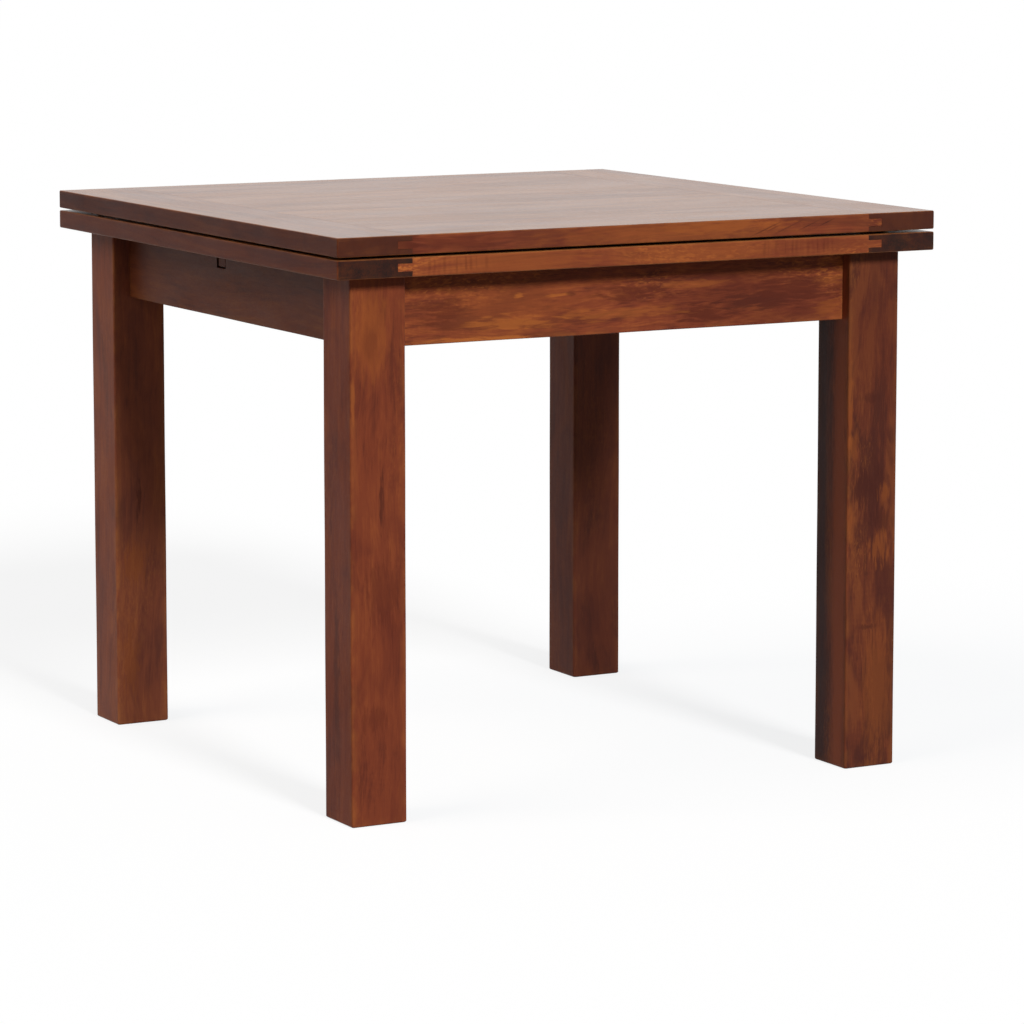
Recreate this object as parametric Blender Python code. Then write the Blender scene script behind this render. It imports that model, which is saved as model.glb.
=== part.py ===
"""Flip-top extending dining table, modelled as it comes apart on a bench.

Two square leaves with breadboard ends lie on top of each other, hinged along their right edges.
A runner under the lower leaf slides between two rails and out through a notch in the left apron.
Pulled out by half its length, the stack unfolds: the upper leaf flips over onto the bare frame.

Units are metres, +Z is up, and the origin is on the floor under the middle of the table.
+X runs along the front edge and the leaves slide out to -X; the front apron faces -Y.
"""
import math
from dataclasses import dataclass

import bmesh
import bpy
from mathutils import Matrix, Vector

# Clearances
FIT = 0.0003              # between faces that touch
RUNNING = 0.0005          # beside a piece that slides
SLIDE_HEIGHT = 0.0012     # from the frame's top to the leaf that slides over it

# Leaves
TABLE_HEIGHT = 0.765
LEAF_LENGTH = 0.900       # along X
LEAF_WIDTH = 0.900        # along Y
LEAF_THICK = 0.025
LEAF_GAP = 0.0035         # between the stacked leaves
LEAF_EASE = 0.002         # radius of the rounded arrises
END_WIDTH = 0.106         # breadboard end, edge to shoulder
TONGUE_LENGTH = 0.021
TONGUE_THICK = 0.010
BUMPER_RADIUS = 0.005
BUMPER_INSET = 0.045

# Legs and aprons
LEG_SIZE = 0.079
LEG_INSET = 0.034         # leg's outer face in from the leaf's edge
LEG_EASE = 0.0025
APRON_HEIGHT = 0.0925
APRON_THICK = 0.022
APRON_EASE = 0.0015
FRONT_SETBACK = 0.017     # front and back aprons in from the legs' outer faces
SIDE_SETBACK = 0.025      # left and right aprons in from the legs' outer faces
TENON_THICK = 0.010
TENON_LENGTH = 0.025
TENON_SHOULDER = 0.014
EASE_STEPS = 2

# Felt pads that carry the leaves
FELT_RECESS = 0.0014
LEG_FELT_SIZE = 0.044
APRON_FELT_LENGTH = 0.160
APRON_FELT_WIDTH = 0.012

# Corner braces
BRACE_THICK = 0.025
BRACE_HEIGHT = 0.060
BRACE_RISE = 0.012        # above the aprons' bottom edge
LEG_CHAMFER = 0.012       # flat on the leg's inner corner for the brace
BRACE_SCREW_RISE = 0.015  # above and below the brace's middle
BRACE_SCREW_SEAT = 0.009  # wood left under the screw's head
BOLT_RADIUS = 0.004
BOLT_BITE = 0.030
BOLT_END = 0.004          # thread past the nut
FLANGE_RADIUS = 0.009
FLANGE_THICK = 0.0016
NUT_RADIUS = 0.0075
NUT_THICK = 0.008         # flange and hexagon together

# Runner, rails and keepers of the slide
SLIDE_TRAVEL = LEAF_LENGTH / 2
RUNNER_Y = 0.025
RUNNER_WIDTH = 0.022
RUNNER_DEPTH = 0.024
RUNNER_SETBACK = 0.001    # runner's end in from the left apron's face
RUNNER_SCREW_MARGIN = 0.050
RUNNER_SCREW_COUNT = 4    # left of the keepers
RUNNER_SCREW_SEAT = 0.014
NOTCH_SIDE = 0.0035
NOTCH_BELOW = 0.002
RAIL_WIDTH = 0.030
RAIL_HOUSING = 0.008
KEEPER_LENGTH = 0.060
KEEPER_LAP = 0.018        # keeper under each rail
KEEPER_THICK = 0.012
KEEPER_SCREW_MARGIN = 0.016
KEEPER_SCREW_SEAT = 0.007

# Butt hinges between the leaves
HINGE_INSET = 0.150       # outer hinges' middle in from the leaf's ends
HINGE_LENGTH = 0.064
HINGE_PROUD = 0.00075     # pin's axis beyond the leaves' edge
PLATE_WIDTH = 0.028
PLATE_THICK = 0.0015
KNUCKLE_LAP = 0.0009      # barrel overlaps the plate's edge by this much
KNUCKLE_COUNT = 5
PIN_RADIUS = 0.0012
PLATE_SCREW_MARGIN = 0.009
PLATE_SCREW_HEAD = 0.0029
PLATE_SCREW_SHANK = 0.0015
PLATE_SCREW_LENGTH = 0.014

# Pan-head wood screws
SCREW_HEAD_RADIUS = 0.0038
SCREW_HEAD_HEIGHT = 0.0028
SCREW_SHANK_RADIUS = 0.0020
SCREW_BITE = 0.013        # length in the piece that the screw holds to

# Facets
HEXAGON_SIDES = 6
BARREL_SIDES = 16
SCREW_SIDES = 8
DRILL_OUT = 0.030         # length of a drill past the mouth of its hole

# Heights, from the top down
UPPER_LOW = TABLE_HEIGHT - LEAF_THICK
LOWER_HIGH = UPPER_LOW - LEAF_GAP
LOWER_LOW = LOWER_HIGH - LEAF_THICK
FRAME_TOP = LOWER_LOW - SLIDE_HEIGHT
APRON_LOW = FRAME_TOP - APRON_HEIGHT
RUNNER_HIGH = LOWER_LOW - FIT
RUNNER_LOW = RUNNER_HIGH - RUNNER_DEPTH
RAIL_LOW = RUNNER_LOW + FIT
KEEPER_HIGH = RUNNER_LOW - FIT
BRACE_LOW = APRON_LOW + BRACE_RISE
BRACE_MIDDLE = BRACE_LOW + BRACE_HEIGHT / 2

# Plan positions, as distances from the table's middle
LEAF_X = LEAF_LENGTH / 2
LEAF_Y = LEAF_WIDTH / 2
SHOULDER_X = LEAF_X - END_WIDTH
LEG_OUT_X = LEAF_X - LEG_INSET
LEG_OUT_Y = LEAF_Y - LEG_INSET
LEG_IN_X = LEG_OUT_X - LEG_SIZE
LEG_IN_Y = LEG_OUT_Y - LEG_SIZE
SIDE_OUT = LEG_OUT_X - SIDE_SETBACK
SIDE_IN = SIDE_OUT - APRON_THICK
FRONT_OUT = LEG_OUT_Y - FRONT_SETBACK
FRONT_IN = FRONT_OUT - APRON_THICK
RUNNER_LEFT = RUNNER_SETBACK - SIDE_OUT
RUNNER_RIGHT = SIDE_IN - FIT
RAIL_OFFSET = (RUNNER_WIDTH + RAIL_WIDTH) / 2 + RUNNING
RAIL_END = SIDE_IN + RAIL_HOUSING - FIT
STOP_KEEPER_LEFT = SLIDE_TRAVEL + FIT - SIDE_IN
HOME_KEEPER_LEFT = SIDE_IN - FIT - KEEPER_LENGTH
HINGE_X = LEAF_X + HINGE_PROUD
HINGE_Z = LOWER_HIGH + LEAF_GAP / 2
BARREL_RADIUS = LEAF_GAP / 2 + FIT + KNUCKLE_LAP

CORNERS = {
    "front_left": (-1, -1),
    "front_right": (1, -1),
    "back_left": (-1, 1),
    "back_right": (1, 1),
}
HINGES = {"front": HINGE_INSET - LEAF_Y, "middle": 0.0, "back": LEAF_Y - HINGE_INSET}


@dataclass(frozen=True)
class Finish:
    """Colour, roughness and metallic value of one kind of surface."""

    colour: tuple
    roughness: float
    metallic: float = 0.0


CHESTNUT = Finish((0.190, 0.072, 0.033), 0.38)
CHESTNUT_DARK = Finish((0.120, 0.048, 0.026), 0.42)
PLAIN_WOOD = Finish((0.330, 0.190, 0.095), 0.65)
BRASS = Finish((0.610, 0.410, 0.140), 0.32, 1.0)
STEEL = Finish((0.480, 0.480, 0.500), 0.40, 1.0)
FELT = Finish((0.045, 0.030, 0.022), 0.95)
RUBBER = Finish((0.060, 0.055, 0.050), 0.70)


@dataclass(frozen=True)
class Screw:
    """A wood screw; its +Z end is the head and its length runs down from the head's seat."""

    head_radius: float
    head_height: float
    shank_radius: float
    length: float
    countersunk: bool = False

    def profile(self, grow=0.0):
        """Radius and height points from the top of the axis down; a grown profile is the hole."""
        head = self.head_radius + grow
        shank = self.shank_radius + grow
        tip = [(shank, self.shank_radius - self.length), (0.0, -self.length - grow)]
        if self.countersunk:
            head = self.head_radius + grow * math.sqrt(2)
            top = [(head, DRILL_OUT), (head, 0.0)] if grow else [(head, 0.0)]
            return [(0.0, top[0][1])] + top + [(shank, shank - head)] + tip
        high = DRILL_OUT if grow else self.head_height
        return [(0.0, high), (head, high), (head, -grow), (shank, -grow)] + tip


def wood_screw(seat):
    """A pan-head screw that holds a piece with a given thickness of wood under its head."""
    return Screw(SCREW_HEAD_RADIUS, SCREW_HEAD_HEIGHT, SCREW_SHANK_RADIUS, seat + SCREW_BITE)


BRACE_SCREW = wood_screw(BRACE_SCREW_SEAT)
RUNNER_SCREW = wood_screw(RUNNER_SCREW_SEAT)
KEEPER_SCREW = wood_screw(KEEPER_SCREW_SEAT)
HINGE_SCREW = Screw(PLATE_SCREW_HEAD, 0.0, PLATE_SCREW_SHANK, PLATE_SCREW_LENGTH, countersunk=True)


def empty_scene():
    """Remove every object and make the two collections."""
    for obj in list(bpy.data.objects):
        bpy.data.objects.remove(obj, do_unlink=True)
    made = []
    for name in ("butterfly_extending_table", "cutters"):
        collection = bpy.data.collections.new(name)
        bpy.context.scene.collection.children.link(collection)
        made.append(collection)
    return made


PARTS, CUTTERS = empty_scene()


def carrier(name, point, parent=None):
    """Make an empty that carries the pieces of one moving group."""
    empty = bpy.data.objects.new(name, None)
    empty.empty_display_size = 0.05
    PARTS.objects.link(empty)
    hang(empty, parent, point)
    return empty


def hang(obj, parent, point):
    """Put an object at a world point, under an unturned parent."""
    obj.location = point
    if parent:
        obj.parent = parent
        bpy.context.view_layer.update()
        obj.location = Vector(point) - parent.matrix_world.translation


def material(name, finish):
    """Make a piece's own material."""
    made = bpy.data.materials.new(name)
    made.use_nodes = True
    shader = made.node_tree.nodes["Principled BSDF"]
    shader.inputs["Base Color"].default_value = (*finish.colour, 1.0)
    shader.inputs["Roughness"].default_value = finish.roughness
    shader.inputs["Metallic"].default_value = finish.metallic
    made.diffuse_color = (*finish.colour, 1.0)
    return made


def to_mesh(bm, name, origin):
    """Write a bmesh that was built in world coordinates as a mesh about an origin."""
    bmesh.ops.translate(bm, verts=bm.verts, vec=-Vector(origin))
    mesh = bpy.data.meshes.new(name)
    bm.to_mesh(mesh)
    bm.free()
    return mesh


def part(name, bm, finish, parent, origin):
    """Make one named piece from a bmesh in world coordinates."""
    mesh = to_mesh(bm, name, origin)
    mesh.shade_smooth()
    mesh.set_sharp_from_angle(angle=math.radians(35))
    mesh.materials.append(material(name, finish))
    obj = bpy.data.objects.new(name, mesh)
    PARTS.objects.link(obj)
    hang(obj, parent, origin)
    return obj


def tool(name, bm):
    """Make a hidden solid that cuts or joins other pieces."""
    obj = bpy.data.objects.new(name, to_mesh(bm, name, (0, 0, 0)))
    obj.hide_render = True
    obj.display_type = "WIRE"
    CUTTERS.objects.link(obj)
    return obj


def shape(obj, cutter, operation="DIFFERENCE"):
    """Cut a piece with a tool, or join the tool to it."""
    boolean = obj.modifiers.new(cutter.name, "BOOLEAN")
    boolean.object = cutter
    boolean.operation = operation
    boolean.solver = "EXACT"


def box(bm, low, high):
    """Add a box between two corners."""
    low, high = Vector(low), Vector(high)
    size = Matrix.Diagonal((*(high - low), 1.0))
    bmesh.ops.create_cube(bm, size=1.0, matrix=Matrix.Translation((low + high) / 2) @ size)


def boxes(*corner_pairs):
    """Make a bmesh that holds separate boxes."""
    bm = bmesh.new()
    for low, high in corner_pairs:
        box(bm, low, high)
    return bm


def facing(point, direction):
    """Matrix that puts a unit piece at a point with its +Z along a direction."""
    turn = Vector(direction).to_track_quat("Z", "Y").to_matrix().to_4x4()
    return Matrix.Translation(point) @ turn


def rods(radius, sides, *ends):
    """Make a bmesh that holds round bars between pairs of points."""
    bm = bmesh.new()
    for start, end in ends:
        start, end = Vector(start), Vector(end)
        place = facing((start + end) / 2, end - start)
        bmesh.ops.create_cone(bm, cap_ends=True, segments=sides, radius1=radius, radius2=radius,
                              depth=(end - start).length, matrix=place)
    return bm


def turned(profile, places):
    """Spin a profile about its own Z axis and set a copy at each place."""
    unit = bmesh.new()
    verts = [unit.verts.new((radius, 0.0, height)) for radius, height in profile]
    edges = [unit.edges.new(pair) for pair in zip(verts, verts[1:])]
    bmesh.ops.spin(unit, geom=verts + edges, cent=(0, 0, 0), axis=(0, 0, 1),
                   angle=math.tau, steps=SCREW_SIDES)
    bmesh.ops.remove_doubles(unit, verts=unit.verts, dist=1e-6)
    bmesh.ops.recalc_face_normals(unit, faces=unit.faces)
    mesh = to_mesh(unit, "unit", (0, 0, 0))
    bm = bmesh.new()
    for place in places:
        copy = mesh.copy()
        copy.transform(place)
        bm.from_mesh(copy)
        bpy.data.meshes.remove(copy)
    bpy.data.meshes.remove(mesh)
    return bm


def drill_for(name, screw, places):
    """Make the tool that cuts the holes of a set of screws."""
    return tool(name + "_drill", turned(screw.profile(FIT), places))


def screws(name, screw, places, parent):
    """Make a set of screws and return the drill that cuts their holes."""
    for number, place in enumerate(places, start=1):
        part(f"{name}_{number}", turned(screw.profile(), [place]), STEEL, parent, place.translation)
    return drill_for(name, screw, places)


def runs_along(edge, axis):
    """True where an edge is parallel to a coordinate axis."""
    step = edge.verts[1].co - edge.verts[0].co
    return abs(step[axis]) > 0.999 * step.length


def lies_at(edge, axis, value):
    """True where both ends of an edge have the same coordinate."""
    return all(abs(vert.co[axis] - value) < 1e-6 for vert in edge.verts)


def ease(bm, radius, chosen):
    """Round the chosen edges of a fresh box."""
    edges = [edge for edge in bm.edges if chosen(edge)]
    bmesh.ops.bevel(bm, geom=edges, offset=radius, segments=EASE_STEPS, profile=0.5, affect="EDGES")


def outline(points, low, high):
    """Fill a flat outline and give it height; return it as a bmesh in world coordinates."""
    curve = bpy.data.curves.new("outline", "CURVE")
    curve.dimensions = "2D"
    curve.fill_mode = "BOTH"
    curve.extrude = (high - low) / 2
    spline = curve.splines.new("POLY")
    spline.points.add(len(points) - 1)
    for target, (x, y) in zip(spline.points, points):
        target.co = (x, y, 0.0, 1.0)
    spline.use_cyclic_u = True
    obj = bpy.data.objects.new("outline", curve)
    CUTTERS.objects.link(obj)
    bpy.context.view_layer.update()
    mesh = bpy.data.meshes.new_from_object(obj.evaluated_get(bpy.context.evaluated_depsgraph_get()))
    bpy.data.objects.remove(obj, do_unlink=True)
    bpy.data.curves.remove(curve)
    bm = bmesh.new()
    bm.from_mesh(mesh)
    bpy.data.meshes.remove(mesh)
    bmesh.ops.remove_doubles(bm, verts=bm.verts, dist=1e-6)
    bmesh.ops.recalc_face_normals(bm, faces=bm.faces)
    bmesh.ops.translate(bm, verts=bm.verts, vec=(0, 0, (low + high) / 2))
    return bm


def make_leaf(prefix, low, finish, parent):
    """Field with a tongue at each end, and a grooved breadboard end on each tongue."""
    high = low + LEAF_THICK
    middle = (low + high) / 2
    tip = SHOULDER_X + TONGUE_LENGTH
    field = boxes(((-tip, -LEAF_Y, low), (tip, LEAF_Y, high)))
    ease(field, LEAF_EASE, lambda edge: runs_along(edge, 0))
    made = [part(prefix + "_field", field, finish, parent, (0, 0, middle))]
    rebates = []
    for side in (-1, 1):
        inner, outer = side * SHOULDER_X, side * (tip + FIT)
        for face, up in ((low - FIT, -1), (high + FIT, 1)):
            cheek = middle + up * TONGUE_THICK / 2
            rebates.append(((min(inner, outer), -LEAF_WIDTH, min(face, cheek)),
                            (max(inner, outer), LEAF_WIDTH, max(face, cheek))))
    shape(made[0], tool(prefix + "_rebates", boxes(*rebates)))
    for name, side in (("left", -1), ("right", 1)):
        joint, rim = side * (SHOULDER_X + FIT), side * LEAF_X
        end = boxes(((min(joint, rim), -LEAF_Y, low), (max(joint, rim), LEAF_Y, high)))
        ease(end, LEAF_EASE, lambda edge: not lies_at(edge, 0, joint))
        made.append(part(f"{prefix}_{name}_end", end, finish, parent, ((joint + rim) / 2, 0, middle)))
        mouth, root = side * SHOULDER_X, side * (tip + FIT)
        groove = boxes(((min(mouth, root), -LEAF_WIDTH, middle - TONGUE_THICK / 2 - FIT),
                        (max(mouth, root), LEAF_WIDTH, middle + TONGUE_THICK / 2 + FIT)))
        shape(made[-1], tool(f"{prefix}_{name}_groove", groove))
    return made


def knuckle_span(index, station, trim):
    """Ends of one knuckle along the pin, each drawn in by a trim."""
    pitch = HINGE_LENGTH / KNUCKLE_COUNT
    start = station - HINGE_LENGTH / 2 + index * pitch
    return start + trim, start + pitch - trim


def make_hinge_plates(prefix, up, finish, parent, board):
    """Three hinge plates let into a leaf's mating face; up is 1 where the leaf is above the pin."""
    face = HINGE_Z + up * LEAF_GAP / 2
    seat = face + up * (FIT + PLATE_THICK)
    inner = HINGE_X - PLATE_WIDTH
    own = [index for index in range(KNUCKLE_COUNT) if (index % 2 == 0) == (up < 0)]
    others = [index for index in range(KNUCKLE_COUNT) if index not in own]
    places, beds = [], []
    plates = []
    for name, station in HINGES.items():
        ends = (station - HINGE_LENGTH / 2, station + HINGE_LENGTH / 2)
        lows, highs = sorted((face + up * FIT, seat))
        plate = boxes(((inner, ends[0], lows), (LEAF_X, ends[1], highs)))
        label = f"{prefix}_hinge_plate_{name}"
        plates.append(part(label, plate, finish, parent, (HINGE_X, station, HINGE_Z)))
        slots = []
        for index in others:
            start, stop = knuckle_span(index, station, -FIT)
            slots.append(((HINGE_X - BARREL_RADIUS - RUNNING, start, lows - PLATE_THICK),
                          (HINGE_X + BARREL_RADIUS, stop, highs + PLATE_THICK)))
        shape(plates[-1], tool(label + "_slots", boxes(*slots)))
        bars = []
        for index in own:
            start, stop = knuckle_span(index, station, FIT / 2)
            bars.append(((HINGE_X, start, HINGE_Z), (HINGE_X, stop, HINGE_Z)))
        shape(plates[-1], tool(label + "_knuckles", rods(BARREL_RADIUS, BARREL_SIDES, *bars)), "UNION")
        far = inner + PLATE_SCREW_MARGIN
        near = LEAF_X - PLATE_SCREW_MARGIN
        corners = [(far, end + way * PLATE_SCREW_MARGIN) for end, way in zip(ends, (1, -1))]
        for x, y in (*corners, (near, station)):
            places.append(facing((x, y, face + up * FIT), (0, 0, -up)))
        low, high = sorted((face - up * LEAF_GAP / 2, seat + up * FIT))
        beds.append(((inner - FIT, ends[0] - FIT, low), (HINGE_X, ends[1] + FIT, high)))
    bores = tool(prefix + "_hinge_bores", pin_tool(PIN_RADIUS + FIT, FIT))
    drill = drill_for(prefix + "_hinge_screw", HINGE_SCREW, places)
    for plate in plates:
        shape(plate, bores)
        shape(plate, drill)
    shape(board, tool(prefix + "_hinge_beds", boxes(*beds)))
    shape(board, tool(prefix + "_barrel_recess", pin_tool(BARREL_RADIUS + RUNNING, RUNNING)))


def pin_ends(station, past):
    """End points of a bar on the hinge axis that runs past a hinge's ends."""
    half = HINGE_LENGTH / 2 + past
    return (HINGE_X, station - half, HINGE_Z), (HINGE_X, station + half, HINGE_Z)


def pin_tool(radius, past):
    """Round bars on the hinge axis, one for each hinge."""
    return rods(radius, BARREL_SIDES, *[pin_ends(station, past) for station in HINGES.values()])


def make_leg(name, side, depth, felt_beds, bolt_drill):
    """Square leg with two mortises, a flat on its inner corner and a bed for its felt pad."""
    x = side * (LEG_OUT_X + LEG_IN_X) / 2
    y = depth * (LEG_OUT_Y + LEG_IN_Y) / 2
    half = LEG_SIZE / 2
    leg = boxes(((x - half, y - half, 0.0), (x + half, y + half, FRAME_TOP)))
    ease(leg, LEG_EASE, lambda edge: not lies_at(edge, 2, FRAME_TOP))
    made = part(name + "_leg", leg, CHESTNUT, None, (x, y, 0.0))
    low = APRON_LOW + TENON_SHOULDER - FIT
    high = FRAME_TOP - TENON_SHOULDER + FIT
    wide = TENON_THICK / 2 + FIT
    front_y = depth * (FRONT_OUT + FRONT_IN) / 2
    side_x = side * (SIDE_OUT + SIDE_IN) / 2
    front_x = sorted((side * (LEG_IN_X - TENON_LENGTH), side * (LEG_IN_X + TENON_LENGTH)))
    side_y = sorted((depth * (LEG_IN_Y - TENON_LENGTH), depth * (LEG_IN_Y + TENON_LENGTH)))
    mortises = boxes(((front_x[0], front_y - wide, low), (front_x[1], front_y + wide, high)),
                     ((side_x - wide, side_y[0], low), (side_x + wide, side_y[1], high)))
    shape(made, tool(name + "_mortises", mortises))
    flat = outline([(side * a, depth * b) for a, b in (
        (LEG_IN_X + LEG_CHAMFER, LEG_IN_Y - LEG_SIZE),
        (LEG_IN_X + LEG_CHAMFER, LEG_IN_Y),
        (LEG_IN_X, LEG_IN_Y + LEG_CHAMFER),
        (LEG_IN_X - LEG_SIZE, LEG_IN_Y + LEG_CHAMFER),
        (LEG_IN_X - LEG_SIZE, LEG_IN_Y - LEG_SIZE))], BRACE_LOW - FIT, FRAME_TOP + LEG_SIZE)
    shape(made, tool(name + "_corner_flat", flat))
    shape(made, felt_beds)
    shape(made, bolt_drill)


def make_apron(name, along, side, cutters):
    """Apron with a stub tenon at each end; along is its length's axis, 0 for X and 1 for Y."""
    outer, inner = ((FRONT_OUT, FRONT_IN), (SIDE_OUT, SIDE_IN))[along]
    reach = (LEG_IN_X, LEG_IN_Y)[along] - FIT
    middle = side * (outer + inner) / 2

    def corner(length, across, height):
        return (length, across, height) if along == 0 else (across, length, height)

    across = sorted((side * outer, side * inner))
    apron = boxes((corner(-reach, across[0], APRON_LOW), corner(reach, across[1], FRAME_TOP)))
    ease(apron, APRON_EASE, lambda edge: runs_along(edge, along) and lies_at(edge, 2, APRON_LOW))
    made = part(name + "_apron", apron, CHESTNUT, None, corner(0.0, middle, (APRON_LOW + FRAME_TOP) / 2))
    tenons = []
    for end in (-1, 1):
        root = reach - TENON_LENGTH
        tip = reach + TENON_LENGTH
        length = sorted((end * root, end * tip))
        tenons.append((corner(length[0], middle - TENON_THICK / 2, APRON_LOW + TENON_SHOULDER),
                       corner(length[1], middle + TENON_THICK / 2, FRAME_TOP - TENON_SHOULDER)))
    shape(made, tool(name + "_tenons", boxes(*tenons)), "UNION")
    for cutter in cutters:
        shape(made, cutter)


def brace_lines():
    """Sums of plan distances that give the brace's bearing face and its inner face."""
    bearing = LEG_IN_X + LEG_IN_Y + LEG_CHAMFER - FIT * math.sqrt(2)
    return bearing, bearing - BRACE_THICK * math.sqrt(2)


def corner_direction(side, depth):
    """Level direction from a leg's inner corner towards the middle of the table."""
    return Vector((-side, -depth, 0)).normalized()


def bolt_point(side, depth, reach):
    """Point on a corner bolt's axis, measured inwards from the brace's inner face."""
    inner = brace_lines()[1]
    lean = (LEG_IN_X - LEG_IN_Y) / 2
    face = Vector((side * (inner / 2 + lean), depth * (inner / 2 - lean), BRACE_MIDDLE))
    return face + corner_direction(side, depth) * reach


def corner_bar(signs, radius, sides, start, stop):
    """Bar on one bolt's axis between two distances from the brace's inner face."""
    return rods(radius, sides, (bolt_point(*signs, start), bolt_point(*signs, stop)))


def brace_screw_places():
    """Two screws into each apron from each corner brace."""
    bearing, inner = brace_lines()
    places = []
    for side, depth in CORNERS.values():
        seat_x = SIDE_IN - FIT - BRACE_SCREW_SEAT
        seat_y = FRONT_IN - FIT - BRACE_SCREW_SEAT
        on_side = (bearing + inner) / 2 - SIDE_IN
        on_front = (bearing + inner) / 2 - FRONT_IN
        for rise in (-BRACE_SCREW_RISE, BRACE_SCREW_RISE):
            height = BRACE_MIDDLE + rise
            places.append(facing((side * seat_x, depth * on_side, height), (-side, 0, 0)))
            places.append(facing((side * on_front, depth * seat_y, height), (0, -depth, 0)))
    return places


def make_braces(bolt_drill, screw_drill):
    """Corner braces that tie two aprons and draw the leg in with a hanger bolt."""
    bearing, inner = brace_lines()
    wall_x, wall_y = SIDE_IN - FIT, FRONT_IN - FIT
    plan = ((wall_x, bearing - wall_x), (bearing - wall_y, wall_y),
            (inner - wall_y, wall_y), (wall_x, inner - wall_x))
    for name, (side, depth) in CORNERS.items():
        block = outline([(side * x, depth * y) for x, y in plan], BRACE_LOW, BRACE_LOW + BRACE_HEIGHT)
        made = part(name + "_brace", block, PLAIN_WOOD, None, bolt_point(side, depth, 0.0))
        shape(made, bolt_drill)
        shape(made, screw_drill)


def make_corner_bolts(bolt_drill):
    """Hanger bolt and flange nut at each corner."""
    depth = BRACE_THICK + FIT + BOLT_BITE
    nut_end = FIT + NUT_THICK
    for name, signs in CORNERS.items():
        face = bolt_point(*signs, 0.0)
        bolt = corner_bar(signs, BOLT_RADIUS, SCREW_SIDES, -depth, nut_end + BOLT_END)
        part(name + "_hanger_bolt", bolt, STEEL, None, face)
        hexagon = corner_bar(signs, NUT_RADIUS, HEXAGON_SIDES, 2 * FIT, nut_end)
        nut = part(name + "_flange_nut", hexagon, STEEL, None, face)
        flange = corner_bar(signs, FLANGE_RADIUS, BARREL_SIDES, FIT, FIT + FLANGE_THICK)
        shape(nut, tool(name + "_flange", flange), "UNION")
        shape(nut, bolt_drill)


def felt_spans(grow):
    """Name and corners of each felt pad, or of the bed that is cut for it."""
    low = FRAME_TOP - FELT_RECESS + FIT - grow
    high = LOWER_LOW - FIT + grow
    spans = {}
    half = LEG_FELT_SIZE / 2 + grow
    for name, (side, depth) in CORNERS.items():
        x = side * (LEG_OUT_X + LEG_IN_X) / 2
        y = depth * (LEG_OUT_Y + LEG_IN_Y) / 2
        spans[name + "_leg_felt"] = ((x - half, y - half, low), (x + half, y + half, high))
    long, wide = APRON_FELT_LENGTH / 2 + grow, APRON_FELT_WIDTH / 2 + grow
    for name, depth in (("front", -1), ("back", 1)):
        y = depth * (FRONT_OUT + FRONT_IN) / 2
        spans[name + "_apron_felt"] = ((-long, y - wide, low), (long, y + wide, high))
    return spans


def rail_spans(grow):
    """Corners of the front and back guide rails, or of their housings in the aprons."""
    spans = []
    for side in (-1, 1):
        y = RUNNER_Y + side * RAIL_OFFSET
        half = RAIL_WIDTH / 2 + grow
        top = FRAME_TOP + (RAIL_WIDTH if grow else 0.0)
        spans.append(((-RAIL_END - grow, y - half, RAIL_LOW - grow), (RAIL_END + grow, y + half, top)))
    return spans


def make_frame():
    """Legs, aprons, corner braces, guide rails and felt pads."""
    for name, span in felt_spans(0.0).items():
        part(name, boxes(span), FELT, None, (Vector(span[0]) + Vector(span[1])) / 2)
    felt_beds = tool("felt_beds", boxes(*felt_spans(FIT).values()))
    bolt_depth = BRACE_THICK + FIT + BOLT_BITE + FIT
    bolt_axes = [(bolt_point(*signs, -bolt_depth), bolt_point(*signs, NUT_THICK + DRILL_OUT))
                 for signs in CORNERS.values()]
    bolt_drill = tool("bolt_drill", rods(BOLT_RADIUS + FIT, SCREW_SIDES, *bolt_axes))
    screw_drill = drill_for("brace_screw", BRACE_SCREW, brace_screw_places())
    for name, (side, depth) in CORNERS.items():
        make_leg(name, side, depth, felt_beds, bolt_drill)
    housings = tool("rail_housings", boxes(*rail_spans(FIT)))
    notch_half = RUNNER_WIDTH / 2 + NOTCH_SIDE
    notch = tool("runner_notch", boxes((
        (-SIDE_OUT - APRON_THICK, RUNNER_Y - notch_half, RUNNER_LOW - NOTCH_BELOW),
        (-SIDE_IN + APRON_THICK, RUNNER_Y + notch_half, FRAME_TOP + RUNNER_DEPTH))))
    make_apron("front", 0, -1, (felt_beds,))
    make_apron("back", 0, 1, (felt_beds,))
    make_apron("left", 1, -1, (notch, housings))
    make_apron("right", 1, 1, (housings,))
    make_braces(bolt_drill, screw_drill)
    make_corner_bolts(bolt_drill)
    for name, (low, high) in zip(("front_guide_rail", "back_guide_rail"), rail_spans(0.0)):
        part(name, boxes((low, high)), PLAIN_WOOD, None, (Vector(low) + Vector(high)) / 2)


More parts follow.
